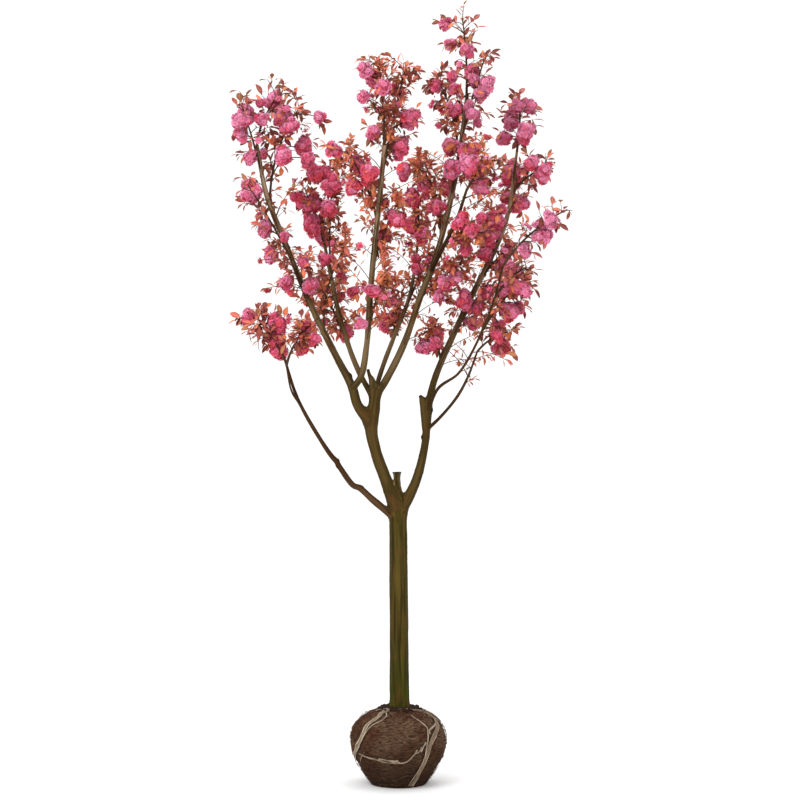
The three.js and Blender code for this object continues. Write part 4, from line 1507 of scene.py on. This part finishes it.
@dataclass
class Twigs(Batches):
    """Twigs: feet, leads and ends of their curves, radii, leaves, flowers and spray numbers."""

    lead_at: float = 0.45
    lead_pull: float = 0.6

    def add(self, spray: int, curves: Sequence[Array], radii: Span, leaves: Array, flowers: Array) -> None:
        """Adds twigs by the feet, leads and ends of their curves; the rest is as in grow."""
        thick = np.tile(np.array(radii) * MM, (len(leaves), 1))
        self.batches.append((*curves, thick, leaves, flowers, np.full(len(leaves), spray)))

    def grow(self, spray: int, feet: Array, ways: Array, outs: Array, lengths: Array,
             radii: Span, leaves: Array, flowers: Array) -> Array:
        """Adds twigs that leave their carrier along way and bend to out.

        Args:
            spray: the number of the spray they belong to.
            feet: where they start (twig, 3).
            ways: the direction of what carries them (twig, 3).
            outs: the direction they end in (twig, 3).
            lengths: how far their ends lie from their feet.
            radii: millimetres at foot and end.
            leaves: leaves on each.
            flowers: flowers at each end.

        Returns:
            The twigs' ends.
        """
        ends = feet + lengths[:, None] * outs
        leads = feet + self.lead_at * lengths[:, None] * unit(self.lead_pull * ways + outs)
        self.add(spray, (feet, leads, ends), radii, leaves, flowers)
        return ends


@dataclass
class Heads(Batches):
    """Blossom heads: centres, radii and spray numbers."""

    def add(self, spray: int, centres: Array, radii: Array) -> None:
        """Adds heads of one spray."""
        self.batches.append((centres, radii, np.full(len(radii), spray)))


@dataclass
class Crown:
    """Sprays of blossom and young leaves, grown by the rule of the solids and on to finer twigs."""

    timber: Timber
    stem_radius: Span = (7.0, 3.2)
    stem_bow: float = 0.5
    stem_leaves: int = 7
    spur_radius: Span = (3.2, 2.4)
    spur_from: float = 0.1
    spur_over: float = 0.85
    spur_tilt: Span = (35.0, 95.0)
    spur_length: Span = (0.35, 1.1)
    rise: float = 0.2
    head_radius: Span = (34.0, 55.0)
    head_least: float = 0.82
    belt_height: float = 3170.0
    belt_reach: float = 320.0
    belt_swell: float = 0.43
    rim_swell: float = 0.27
    slim_above: float = 3700.0
    shoots_per_head: tuple[int, int] = (1, 3)
    shoot_rise: float = 0.25
    fewest_twigs: int = 4
    twig_gap: float = 85.0
    twig_from: float = 0.18
    twig_over: float = 0.82
    twig_reach: float = 120.0
    twig_rim_loss: float = 5.0
    shoot_rim_loss: float = 3.0
    bloom_below: float = 0.8
    bloom_count: tuple[int, int] = (1, 4)
    tuft_chance: float = 0.03
    tuft_rim_chance: float = 0.05
    tuft_radius: Span = (20.0, 32.0)
    tuft_leaves: int = 4
    limb_gap: float = 43.0
    limb_fade: float = 200.0
    limb_until: float = 0.98
    limb_spread: Triple = (1.4, 0.8, 1.0)
    rim_middle: float = 3000.0
    rim_half: Span = (850.0, 1100.0)
    rim_from: float = 0.45
    rim_steepness: float = 2.2
    low_height: float = 2500.0
    low_over: float = 400.0
    no_spray: Triple = (100.0, 0.0, 2800.0)
    flower_radius: float = 19.0
    flower_size: Span = (0.82, 1.12)
    flower_cover: float = 5.6
    flower_layers: tuple[Span, ...] = ((1.0, 9.0), (0.6, 20.0))
    flower_buried: float = 16.0
    flower_kinds: int = 6
    lobes_per_head: tuple[int, int] = (3, 6)
    lobe_size: Span = (0.42, 0.6)
    lobe_sink: float = 0.7
    lobe_paleness: float = 0.22
    core_size: float = 0.76
    hang: float = 0.35
    hang_tilt: Span = (30.0, 100.0)
    stalk_length: Span = (18.0, 34.0)
    stalk_radius: float = 0.9
    bud_stalk: Span = (20.0, 38.0)
    bud_length: Span = (10.0, 16.0)
    tone_limits: tuple[float, ...] = (-0.45, -0.12, 0.18, 0.55)
    leaf_length: Span = (46.0, 74.0)
    leaf_kinds: int = 5
    inner_leaves: float = 1.2
    leaf_gap: Span = (5.0, 20.0)
    leaf_spared: float = 0.4
    leaf_clear: float = 8.0
    leaf_tip_clear: float = 6.0
    leaf_beside: float = 4.0
    flower_clear: float = 12.0
    flower_beside: float = 14.0
    bud_clear: float = 8.0
    twig_rings: int = 9
    twig_sides: int = 6
    box: tuple[Triple, Triple] = ((-885.0, -670.0, 0.0), (850.0, 670.0, 4085.0))
    seed: int = 11
    tone_seed: int = 12258
    twigs: Twigs = field(default_factory=Twigs)
    heads: Heads = field(default_factory=Heads)

    def __post_init__(self) -> None:
        """Starts the seeded numbers that all finer growth draws from, in order."""
        self.rng = np.random.default_rng(self.seed)

    def grow_spray(self, number: int, spray: Spray) -> None:
        """Grows one spray: its stem, a spur to each head, side twigs with leaves, and shoots on those.

        The stem is a curve from the limb that first follows the limb. Spur k of K leaves it at a seeded place
        in the k-th part, turned and tilted by seeded angles, and a head sits on its end.

        Args:
            number: the spray's number.
            spray: its row in the table.
        """
        limb = self.timber.limbs[spray.limb]
        start = limb.at(np.array([spray.at]))[0][0]
        tip = np.array(spray.tip) * MM
        span = np.linalg.norm(tip - start)
        lead = start + self.stem_bow * span * unit(limb.heading(spray.at) + unit(tip - start))
        stem = (start[None], lead[None], tip[None])
        self.twigs.add(number, stem, self.stem_radius, np.array([self.stem_leaves]), np.array([0]))
        reach = spray.reach * MM

        k = np.arange(spray.heads)
        shares = self.spur_from + self.spur_over * (k + chance(spray.seed, Draw.SPUR_PLACE + k)) / spray.heads
        turns = TURN * chance(spray.seed, Draw.SPUR_TURN + k)
        tilts = np.radians(within(chance(spray.seed, Draw.SPUR_TILT + k), self.spur_tilt))
        lengths = reach * within(chance(spray.seed, Draw.SPUR_LENGTH + k), self.spur_length)
        feet, ways, outs = self.off_stem(stem, shares, turns, tilts)
        none = np.zeros(spray.heads, int)
        ends = self.twigs.grow(number, feet, ways, outs, lengths, self.spur_radius, none, none)
        radii = within(chance(spray.seed, Draw.HEAD_RADIUS + k), self.head_radius)
        radii = radii * self.fullness(number, ends) * MM
        self.heads.add(number, ends, radii)
        shoots = self.rng.integers(*self.shoots_per_head, spray.heads)
        self.head_shoots(number, *(np.repeat(rows, shoots, 0) for rows in (ends, outs, radii)))

        upper = self.upper_rim()[number]
        count = self.fewest_twigs + spray.heads + int(span / (self.twig_gap * MM))
        j = np.arange(count)
        shares = self.twig_from + self.twig_over * (j + 0.5) / count
        turns = GOLDEN * j + TURN * chance(spray.seed, Draw.TWIG_TURN)
        tilts = np.radians(within(chance(spray.seed, Draw.TWIG_TILT + j), SIDE_TWIG.tilt))
        lengths = within(chance(spray.seed, Draw.TWIG_LENGTH + j), SIDE_TWIG.length)
        lengths = np.minimum(reach, self.twig_reach * MM) * lengths
        feet, ways, outs = self.off_stem(stem, shares, turns, tilts)
        below = shares < self.bloom_below
        tufted = below & (self.rng.random(count) < self.tuft_chance + self.tuft_rim_chance * upper)
        bloom = below * self.flowers(SIDE_TWIG, count)
        leaves = self.rng.integers(*SIDE_TWIG.leaves, count) - int(self.twig_rim_loss * upper)
        leaves = np.where(tufted, self.tuft_leaves, leaves)
        ends = self.twigs.grow(number, feet, ways, outs, lengths, SIDE_TWIG.radii, leaves, bloom)
        self.heads.add(number, ends[tufted], self.rng.uniform(*self.tuft_radius, np.sum(tufted)) * MM)
        halfway = 0.55 * ends + 0.45 * feet
        ways = self.strewn(outs, SIDE_SHOOT.tilt)
        lengths = self.rng.uniform(*SIDE_SHOOT.length, count) * MM
        leaves = self.rng.integers(*SIDE_SHOOT.leaves, count) - int(self.shoot_rim_loss * upper)
        self.twigs.grow(number, halfway, outs, ways, lengths, SIDE_SHOOT.radii, leaves, np.zeros(count, int))

    def off_stem(self, stem: tuple[Array, Array, Array], shares: Array, turns: Array, tilts: Array
                 ) -> tuple[Array, Array, Array]:
        """What leaves a stem, tilted off it towards the side that turn gives, and up a little to the light.

        Args:
            stem: its foot, lead and end, each (1, 3).
            shares: where along the stem.
            turns: how far round it.
            tilts: how far off its direction.

        Returns:
            Feet, the stem's directions there, and directions out of it, each (share, 3).
        """
        start, lead, tip = stem
        t = shares[:, None]
        ways = unit((1 - t) * (lead - start) + t * (tip - lead))
        side = unit(np.cross(ways, AXIS_Y))
        back = np.cross(ways, side)
        round_ways = np.cos(turns)[:, None] * side + np.sin(turns)[:, None] * back
        outs = np.cos(tilts)[:, None] * ways + np.sin(tilts)[:, None] * round_ways
        return on_curves(*stem, shares), ways, unit(outs + self.rise * AXIS_Z)

    def fullness(self, number: int, centres: Array) -> Array:
        """How full heads are: more in a belt, by a bell curve of the height, and at the rim below the top.

        Args:
            number: the spray's number.
            centres: its heads' centres (head, 3).

        Returns:
            A factor for each head.
        """
        belt = self.belt_swell * np.exp(-(((centres[:, 2] / MM - self.belt_height) / self.belt_reach) ** 2))
        rim = self.rim_swell * self.rim()[number] * (SPRAYS[number].tip[2] < self.slim_above)
        return self.head_least + np.maximum(belt, rim)

    def strewn(self, axes: Array, tilt: Span) -> Array:
        """Directions turned about axes by chance, and tilted off them by degrees between the limits."""
        turns = self.rng.uniform(0, TURN, len(axes))
        return leaning(axes, turns, np.radians(self.rng.uniform(*tilt, len(axes))))

    def flowers(self, kind: Shoot, count: int) -> Array:
        """How many flowers each of some twigs of a kind has."""
        return (self.rng.random(count) < kind.bloom) * self.rng.integers(*self.bloom_count, count)

    def head_shoots(self, number: int, centres: Array, outs: Array, radii: Array) -> None:
        """Adds leafy shoots that stand out of blossom heads.

        Args:
            number: the spray's number.
            centres: the head's centre for each shoot (shoot, 3).
            outs: the direction of its spur (shoot, 3).
            radii: its radius.
        """
        count = len(centres)
        ways = unit(self.strewn(outs, HEAD_SHOOT.tilt) + self.shoot_rise * AXIS_Z)
        leaves = self.rng.integers(*HEAD_SHOOT.leaves, count)
        lengths = radii * self.rng.uniform(*HEAD_SHOOT.length, count)
        self.twigs.grow(number, centres, outs, ways, lengths, HEAD_SHOOT.radii, leaves, leaves * 0)

    def limb_spurs(self) -> None:
        """Adds leafy spurs along the limbs, from where each starts to be leafy, spread wide to the sides."""
        for limb in self.timber.limbs.values():
            shares = limb.even_shares(self.limb_gap * MM)
            points, _ = limb.at(shares)
            lowest = (limb.leafy_from + self.rng.uniform(0, self.limb_fade, len(shares))) * MM
            shares = shares[(points[:, 2] > lowest) & (shares < self.limb_until)]
            count = len(shares)
            if count == 0:
                continue
            points, radii = limb.at(shares)
            ways = np.array([limb.heading(share) for share in shares])
            tilts = np.radians(self.rng.uniform(*LIMB_SPUR.tilt, count))
            outs = leaning(ways, GOLDEN * np.arange(count), tilts)
            outs = unit(outs * np.array(self.limb_spread) + self.rise * AXIS_Z)
            lengths = radii + self.rng.uniform(*LIMB_SPUR.length, count) * MM
            bloom = self.flowers(LIMB_SPUR, count)
            leaves = self.rng.integers(*LIMB_SPUR.leaves, count)
            self.twigs.grow(len(SPRAYS), points, ways, outs, lengths, LIMB_SPUR.radii, leaves, bloom)

    def flower_shape(self) -> Shape:
        """One double flower: rings of petals, each a grid of three by two points.

        A petal point lies length times v out along a direction that opens from the flower's axis, and width
        times u across it, with its sides bent up and a notch in the middle of its end.

        Returns:
            The flower, facing Z, one unit in radius.
        """
        counts = np.array((6, 5, 3))
        ring = np.repeat(np.arange(3), counts)
        order = np.concatenate([np.arange(count) / count for count in counts])
        petals = len(ring)
        turn = TURN * (order + ring * 0.13) + self.rng.uniform(-0.3, 0.3, petals)
        opening = np.radians(np.array((98, 79, 52))[ring] + self.rng.uniform(-14, 14, petals))[:, None]
        length = (np.array((1.0, 0.85, 0.66))[ring] * self.rng.uniform(0.82, 1.12, petals))[:, None]
        width = (np.array((0.98, 0.9, 0.75))[ring] * self.rng.uniform(0.85, 1.15, petals))[:, None]
        u, v = np.meshgrid((-1.0, 0.0, 1.0), (0.08, 1.0))
        u, v = u.ravel()[None], v.ravel()[None]
        along = length * (v - 0.16 * (v > 0.5) * (1 - np.abs(u)))
        cup = self.rng.uniform(0.0, 0.3, (petals, 1)) * u**2 * v
        outward = along * np.sin(opening) - cup * np.cos(opening)
        upward = along * np.cos(opening) + cup * np.sin(opening) + 0.08 * ring[:, None]
        across = 0.5 * u * width * np.where(v > 0.5, 1.0, 0.25)
        x = outward * np.cos(turn)[:, None] - across * np.sin(turn)[:, None]
        y = outward * np.sin(turn)[:, None] + across * np.cos(turn)[:, None]
        points = np.stack([x, y, upward], -1).reshape(-1, 3)
        corner = np.array(((0, 3, 4, 1), (1, 4, 5, 2)))
        quads = (corner[None] + 6 * np.arange(petals)[:, None, None]).reshape(-1, 4)
        edge = np.broadcast_to(v, (petals, 6)).ravel()
        return Shape(points, quads, np.zeros((0, 3), int), {"edge": edge})

    def leaf_shape(self) -> Shape:
        """One pointed leaf on its stalk: five rows of three points and a tip.

        A point lies v along Y and half the width times u across it. The blade folds up along its rib by the
        size of u, and droops by the square of v.

        Returns:
            The leaf, along Y with its upper face to Z, one unit long.
        """
        rows = np.array((0.0, 0.18, 0.42, 0.62, 0.82))
        widths = np.array((0.012, 0.07, 0.21, 0.22, 0.13)) * self.rng.uniform(0.85, 1.15)
        droop = self.rng.uniform(0.05, 0.4)
        fold = self.rng.uniform(0.1, 0.35)
        sway = self.rng.uniform(-0.12, 0.12)
        u, v = np.meshgrid((-1.0, 0.0, 1.0), rows)
        across = u * widths[:, None]
        points = np.stack([across + sway * v**2, v, fold * np.abs(across) - droop * v**2], -1).reshape(-1, 3)
        points = np.vstack([points, (sway, 1.0 - 0.15 * droop, -droop)])
        near = 3 * np.arange(4)[:, None] + np.arange(2)[None]
        quads = np.stack([near, near + 1, near + 4, near + 3], -1).reshape(-1, 4)
        tip = len(points) - 1
        tris = np.array(((12, 13, tip), (13, 14, tip)))
        return Shape(points, quads, tris, {"rib": np.append(np.abs(u).ravel(), 0.5)})

    def bud_shape(self) -> Shape:
        """One closed bud: a pointed drop of four rings.

        Returns:
            The bud, along Z, one unit long.
        """
        t = np.array((0.0, 0.3, 0.65, 0.92))
        radius = np.array((0.1, 0.3, 0.34, 0.12))
        angle = np.linspace(0.0, TURN, 6, endpoint=False)
        wall = np.stack(np.broadcast_arrays(
            radius[:, None] * np.cos(angle), radius[:, None] * np.sin(angle), t[:, None]), -1)
        edge = np.broadcast_to(t[:, None], wall.shape[:2])
        return closed_walls(wall[None], np.zeros((1, 3)), AXIS_Z[None], {"edge": edge[None]})

    def inside(self, points: Array, margin: float) -> Array:
        """Whether points lie within the crown's box, and further than the margin from every limb."""
        low, high = np.array(self.box) * MM
        return np.all((points > low) & (points < high), axis=1) & (self.timber.nearest(points)[0] > margin)

    def veils(self, points: Array, front: bool) -> Array:
        """Whether points lie before a blossom head as seen from the front, or on one.

        Args:
            points: places (point, 3).
            front: True asks for places before a head, False for places on one.

        Returns:
            True for each point that does.
        """
        centres, radii, _ = self.heads.stacked()
        if front:
            apart = np.linalg.norm(drawn(points)[:, None] - drawn(centres), axis=-1)
            return np.any((apart < radii) & (points[:, 1:2] < centres[:, 1]), axis=1)
        return np.any(np.linalg.norm(points[:, None] - centres, axis=-1) < 1.1 * radii, axis=1)

    def lobes(self) -> tuple[Array, Array, Array]:
        """The round lobes that heads are made of: a large one, and a few small ones that stand out of it.

        Returns:
            Each lobe's centre, radius and spray number.
        """
        centres, radii, sprays = self.heads.stacked()
        head = np.repeat(np.arange(len(radii)), self.rng.integers(*self.lobes_per_head, len(radii)))
        small = radii[head] * self.rng.uniform(*self.lobe_size, len(head))
        ways = unit(self.rng.normal(size=(len(head), 3)))
        beside = centres[head] + ways * (radii[head] - self.lobe_sink * small)[:, None]
        radii = np.concatenate([self.core_size * radii, small])
        return np.vstack([centres, beside]), radii, np.concatenate([sprays, sprays[head]])

    def dress_heads(self) -> tuple[Array, Array, Array, Array]:
        """Flowers in layers over each lobe, spread by the golden angle so that they cover it evenly.

        Returns:
            Each flower's origin, axis and spray number, and how much paler its lobe is than the rest.
        """
        centres, radii, sprays = self.lobes()
        paler = self.lobe_paleness * self.rng.normal(size=len(radii))
        squash = self.rng.uniform(0.9, 1.1, (len(radii), 3))
        layers = []
        for share, depth in self.flower_layers:
            counts = share * self.flower_cover * (radii / (self.flower_radius * MM)) ** 2
            counts = np.maximum(np.rint(counts), 4).astype(int)
            lobe, order = dealt(counts)
            height = 1 - 2 * (order + 0.5) / counts[lobe]
            turn = GOLDEN * order + self.rng.uniform(0, TURN, len(counts))[lobe]
            flat = np.sqrt(1 - height**2)
            ways = np.stack([flat * np.cos(turn), flat * np.sin(turn), height], -1)
            ways = unit(ways + 0.1 * self.rng.normal(size=ways.shape))
            reach = np.maximum(radii[lobe] - depth * MM, 3 * MM) * self.rng.uniform(0.95, 1.05, len(lobe))
            origins = centres[lobe] + ways * squash[lobe] * reach[:, None]
            gaps = np.linalg.norm(origins[:, None] - centres, axis=-1) - radii
            gaps[np.arange(len(lobe)), lobe] = 0.0
            bare = gaps.min(axis=1) > -self.flower_buried * MM
            layers.append((origins[bare], ways[bare], sprays[lobe][bare], paler[lobe][bare]))
        return tuple(np.concatenate(rows) for rows in zip(*layers))

    def dress_twigs(self) -> tuple[Array, Array, Array, Array, Array]:
        """Single flowers that hang round the ends of twigs on stalks.

        Returns:
            Each flower's origin, axis and spray number, how much paler it is, and where its stalk starts.
        """
        _, leads, ends, _, _, counts, sprays = self.twigs.stacked()
        twig, _ = dealt(counts)
        outs = unit(ends - leads)[twig]
        count = len(twig)
        ways = unit(self.strewn(outs, self.hang_tilt) - self.hang * AXIS_Z)
        origins = ends[twig] + ways * (self.rng.uniform(*self.stalk_length, count) * MM)[:, None]
        return origins, ways, sprays[twig], np.zeros(count), ends[twig]

    def tones(self, ways: Array, sprays: Array, paler: Array) -> Array:
        """Deals out tones: paler where a flower looks up and at the upper rim, as painted light, and by lobe,
        spray and chance.

        Args:
            ways: the flowers' axes (flower, 3).
            sprays: their spray numbers.
            paler: how much paler their lobes are.

        Returns:
            The number of each flower's tone.
        """
        # Painted light from above: sprays at the upper rim are paler, and so are flowers that look up.
        bias = 0.6 * chance(self.tone_seed, np.arange(len(SPRAYS) + 1)) - 0.47 + 0.5 * self.upper_rim()
        score = 0.5 * ways[:, 2] + 0.2 * self.rng.normal(size=len(ways)) + bias[sprays] + paler
        return np.digitize(-score, self.tone_limits)

    def tips(self) -> Array:
        """The tip of each spray's stem, and last a place that stands for no spray."""
        return np.array([spray.tip for spray in SPRAYS] + [self.no_spray], float)

    def rim(self) -> Array:
        """How near to the crown's outline, an ellipse, each tip lies, from 0 in its middle to 1."""
        across, _, up = self.tips().T
        reach = np.hypot(across / self.rim_half[0], (up - self.rim_middle) / self.rim_half[1])
        return np.clip((reach - self.rim_from) * self.rim_steepness, 0.0, 1.0)

    def upper_rim(self) -> Array:
        """The same, but nought for sprays low in the crown."""
        return self.rim() * np.clip((self.tips()[:, 2] - self.low_height) / self.low_over, 0.0, 1.0)

    def tints(self, sprays: Array) -> Array:
        """Deals out tints: maroon at the crown's rim, orange within, the orange partly painted glow of light
        through the leaves.

        Args:
            sprays: the leaves' spray numbers.

        Returns:
            The number of each leaf's tint.
        """
        rim = self.rim()
        inner = 1.0 - rim
        olive = np.full_like(rim, 0.15)
        # More orange within: partly the leaves' own tint, partly painted glow of light shining through them.
        weights = np.stack([0.1 + 0.5 * inner, 0.25 + 0.15 * inner, 0.1 + 0.6 * rim, olive], -1)
        limits = np.cumsum(weights / weights.sum(1, keepdims=True), axis=1)[sprays]
        return np.sum(self.rng.random(len(sprays))[:, None] > limits[:, :3], axis=1)

    def bloom(self, finish: Material) -> None:
        """Blossom, stalks and buds.

        Args:
            finish: the twigs' bark, for the stalks.
        """
        *twig_flowers, stalks = self.dress_twigs()
        pairs = zip(self.dress_heads(), twig_flowers)
        origins, ways, sprays, paler = (np.concatenate(pair) for pair in pairs)
        keep = self.inside(origins, self.flower_clear * MM)
        keep[-len(stalks):] &= ~self.timber.hides(twig_flowers[0], self.flower_beside * MM)
        shown = keep[-len(stalks):]
        origins, ways, sprays, paler = origins[keep], ways[keep], sprays[keep], paler[keep]
        sizes = self.flower_radius * MM * self.rng.uniform(*self.flower_size, len(origins))
        kinds = [self.flower_shape() for _ in range(self.flower_kinds)]
        kind = self.rng.integers(0, self.flower_kinds, len(origins))
        tone = self.tones(ways, sprays, paler)
        for number, choice in enumerate(Tone):
            groups = [(tone == number) & (kind == k) for k in range(self.flower_kinds)]
            copies = [self.lit(kinds[k], origins[g], ways[g], sizes[g]) for k, g in enumerate(groups)]
            Shape.joined(copies).piece(f"blossom_{choice.name.lower()}", choice.value.material(), "blossom")
        bud_ways = unit(twig_flowers[1] + 0.6 * self.rng.normal(size=(len(stalks), 3)))
        bud_ends = stalks + bud_ways * (self.rng.uniform(*self.bud_stalk, len(stalks)) * MM)[:, None]
        clear = self.bud_clear * MM
        held = self.inside(bud_ends, clear) & ~self.timber.hides(bud_ends, clear)
        lengths = self.rng.uniform(*self.bud_length, np.sum(held)) * MM
        buds = self.lit(self.bud_shape(), bud_ends[held], bud_ways[held], lengths)
        buds.piece("buds", BUD.material(), "blossom")
        feet = np.concatenate([stalks[shown], stalks[held]])
        ends = np.concatenate([twig_flowers[0][shown], bud_ends[held]])
        bow = 0.5 * (feet + ends) + 5 * MM * AXIS_Z
        paths = bent_paths(feet, bow, ends, 4)
        shape = tubes(paths, np.array(self.stalk_radius * MM), 3, {"cut": np.zeros((*paths.shape[:2], 3))})
        shape.piece("flower_stalks", finish, "blossom")

    def lit(self, kind: Shape, origins: Array, ways: Array, sizes: Array) -> Shape:
        """Copies of a flower or bud that carry the direction they face, between axis and outline.

        Args:
            kind: the flower or bud, one unit in size.
            origins: where the copies are (copy, 3).
            ways: their axes (copy, 3).
            sizes: their sizes.

        Returns:
            All copies as one shape.
        """
        frames = frames_about(ways, self.rng.uniform(0, TURN, len(origins))) * sizes[:, None, None]
        shape = kind.placed(origins, frames)
        copy = np.repeat(np.arange(len(origins)), len(kind.points))
        off = (shape.points - origins[copy]) / sizes[copy, None]
        shape.values["facing"] = unit(ways[copy] + 0.5 * off)
        return shape

    def leaf(self) -> None:
        """Leaves along the outer part of each twig, turned by the golden angle, the lowest spread widest.

        Inside the crown they are smaller, and there are more of them.
        """
        feet, leads, ends, _, counts, _, sprays = self.twigs.stacked()
        inner = 1.0 - self.rim()[sprays]
        counts = np.rint(counts * (1.0 + self.inner_leaves * inner)).astype(int)
        twig, order = dealt(counts)
        outs = unit(ends - leads)[twig]
        count = len(twig)
        turn = GOLDEN * order + self.rng.uniform(0, TURN, len(counts))[twig]
        tilt = np.radians(12 + 74 * (1 - (order + self.rng.random(count)) / counts[twig]))
        ways = unit(leaning(outs, turn, tilt) - 0.15 * AXIS_Z)
        order = counts[twig] - 1 - order
        spans = np.linalg.norm(ends - feet, axis=1)
        gaps = np.clip(0.06 * spans, self.leaf_gap[0] * MM, self.leaf_gap[1] * MM)
        shares = 1.0 - np.minimum(gaps / spans, 0.8 / np.maximum(counts, 1))[twig] * order
        roots = on_curves(feet[twig], leads[twig], ends[twig], shares)
        ups = unit(0.6 * outs + 0.8 * AXIS_Z + 0.25 * self.rng.normal(size=(count, 3)))
        lengths = self.rng.uniform(*self.leaf_length, count) * (1.0 - 0.25 * inner[twig]) * MM
        keep = self.inside(roots + ways * lengths[:, None], self.leaf_tip_clear * MM)
        keep &= self.timber.nearest(roots + 0.6 * ways * lengths[:, None])[0] > self.leaf_clear * MM
        spared = self.rng.random(count) < self.leaf_spared
        for share in (0.25, 0.5, 0.75, 1.0):
            places = roots + share * ways * lengths[:, None]
            keep &= ~self.timber.hides(places, self.leaf_beside * MM)
            keep &= spared | ~self.veils(places, True) & ~((share > 0.6) & self.veils(places, False))
        roots, ways, ups, lengths = roots[keep], ways[keep], ups[keep], lengths[keep]
        light = unit(outs[keep] + AXIS_Z)
        across = unit(np.cross(ways, ups))
        frames = np.stack([across, ways, np.cross(across, ways)], -1) * lengths[:, None, None]
        tint = self.tints(sprays[twig][keep])
        kinds = [self.leaf_shape() for _ in range(self.leaf_kinds)]
        kind = self.rng.integers(0, self.leaf_kinds, len(roots))
        for number, choice in enumerate(Tint):
            groups = [(tint == number) & (kind == k) for k in range(self.leaf_kinds)]
            shape = Shape.joined([kinds[k].placed(roots[g], frames[g]) for k, g in enumerate(groups)])
            facing = [np.repeat(light[g], len(kinds[k].points), 0) for k, g in enumerate(groups)]
            shape.values["facing"] = np.concatenate(facing)
            shape.piece(f"leaves_{choice.name.lower()}", choice.value.material(), "blossom")

    def wood(self, finish: Material) -> None:
        """Stems, spurs and shoots in place of the sprays' solids, slightly knotty.

        Args:
            finish: their bark.
        """
        feet, leads, ends, radii, *_ = self.twigs.stacked()
        paths = bent_paths(feet, leads, ends, self.twig_rings)
        t = np.linspace(0.0, 1.0, self.twig_rings)[None]
        thick = radii[:, :1] + (radii[:, 1:] - radii[:, :1]) * t
        thick = thick * (1 + 0.12 * lattice_noise(paths / (14 * MM), self.seed))
        cut = np.zeros((*paths.shape[:2], self.twig_sides))
        shape = tubes(paths, thick[..., None], self.twig_sides, {"cut": cut})
        shape.piece("twigs", finish, "blossom", [f"spray_{spray.name}" for spray in SPRAYS])

    def build(self) -> None:
        """Grows the crown, then dresses it."""
        for number, spray in enumerate(SPRAYS):
            self.grow_spray(number, spray)
        self.limb_spurs()
        finish = Bark.TWIG.value.material()
        self.wood(finish)
        self.bloom(finish)
        self.leaf()


# Studio


@dataclass
class Studio:
    """Camera at the photograph's viewing angle, pale floor and soft light."""

    view_width: float = 4.16
    sensor: float = 36.0
    floor_half: float = 60.0
    sight: float = 500.0
    paper: Colour = (250, 250, 250)
    paper_cloud: Colour = (253, 253, 253)
    paper_fineness: float = 3.0
    paper_roughness: float = 0.9
    world: Colour = (255, 255, 255)
    world_strength: float = 1.1
    lit_point: Triple = (0.0, 0.0, 2.2)

    def build(self) -> None:
        """Camera, floor, world and lights."""
        scene = bpy.context.scene
        lens = bpy.data.cameras.new("camera")
        lens.sensor_width = self.sensor
        lens.lens = self.sensor * -EYE[1] / self.view_width
        lens.clip_end = self.sight
        camera = bpy.data.objects.new("camera", lens)
        camera.location = EYE
        camera.rotation_euler = (np.pi / 2, 0.0, 0.0)
        scene.collection.objects.link(camera)
        scene.camera = camera
        scene.view_settings.view_transform = "Standard"
        self.floor()
        world = bpy.data.worlds.new("studio")
        world.use_nodes = True
        light = {"Color": linear(self.world), "Strength": self.world_strength}
        Desk(world.node_tree).fill(world.node_tree.nodes["Background"], light)
        scene.world = world
        self.lamp("key", (-3.5, -5.0, 6.5), 4.0, 220.0)
        self.lamp("top", (1.0, 1.0, 8.0), 5.0, 120.0)

    def floor(self) -> None:
        """A wide plane of paper under the ball."""
        half = self.floor_half
        mesh = bpy.data.meshes.new("floor")
        corners = [(-half, -half, 0.0), (half, -half, 0.0), (half, half, 0.0), (-half, half, 0.0)]
        mesh.from_pydata(corners, [], [(0, 1, 2, 3)])
        desk, material, shader = Desk.material("floor_paper")
        paper = desk.speckle(self.paper_fineness, self.paper, self.paper_cloud)
        desk.fill(shader, {"Base Color": paper.outputs["Colour"], "Roughness": self.paper_roughness})
        mesh.materials.append(material)
        floor = bpy.data.objects.new("floor", mesh)
        bpy.context.scene.collection.objects.link(floor)

    def lamp(self, name: str, place: Triple, size: float, power: float) -> None:
        """A square soft light that looks at the middle of the tree.

        Args:
            name: its name.
            place: where it stands.
            size: the length of its side.
            power: its power in watts.
        """
        light = bpy.data.lights.new(name, "AREA")
        light.size = size
        light.energy = power
        lamp = bpy.data.objects.new(name, light)
        lamp.location = place
        across, deep, up = np.array(self.lit_point) - np.array(place)
        tilt = float(np.arctan2(np.hypot(across, deep), -up))
        lamp.rotation_euler = (tilt, 0.0, float(np.arctan2(-across, deep)))
        bpy.context.scene.collection.objects.link(lamp)


def main() -> None:
    """Builds the studio and the tree."""
    logging.basicConfig(level=logging.INFO, format="%(name)s %(message)s")
    Studio().build()
    timber = Timber()
    timber.build()
    ball = RootBall()
    ties = BastTies(ball)
    ball.build(ties)
    ties.build()
    Crown(timber).build()


if __name__ == "__main__":
    main()
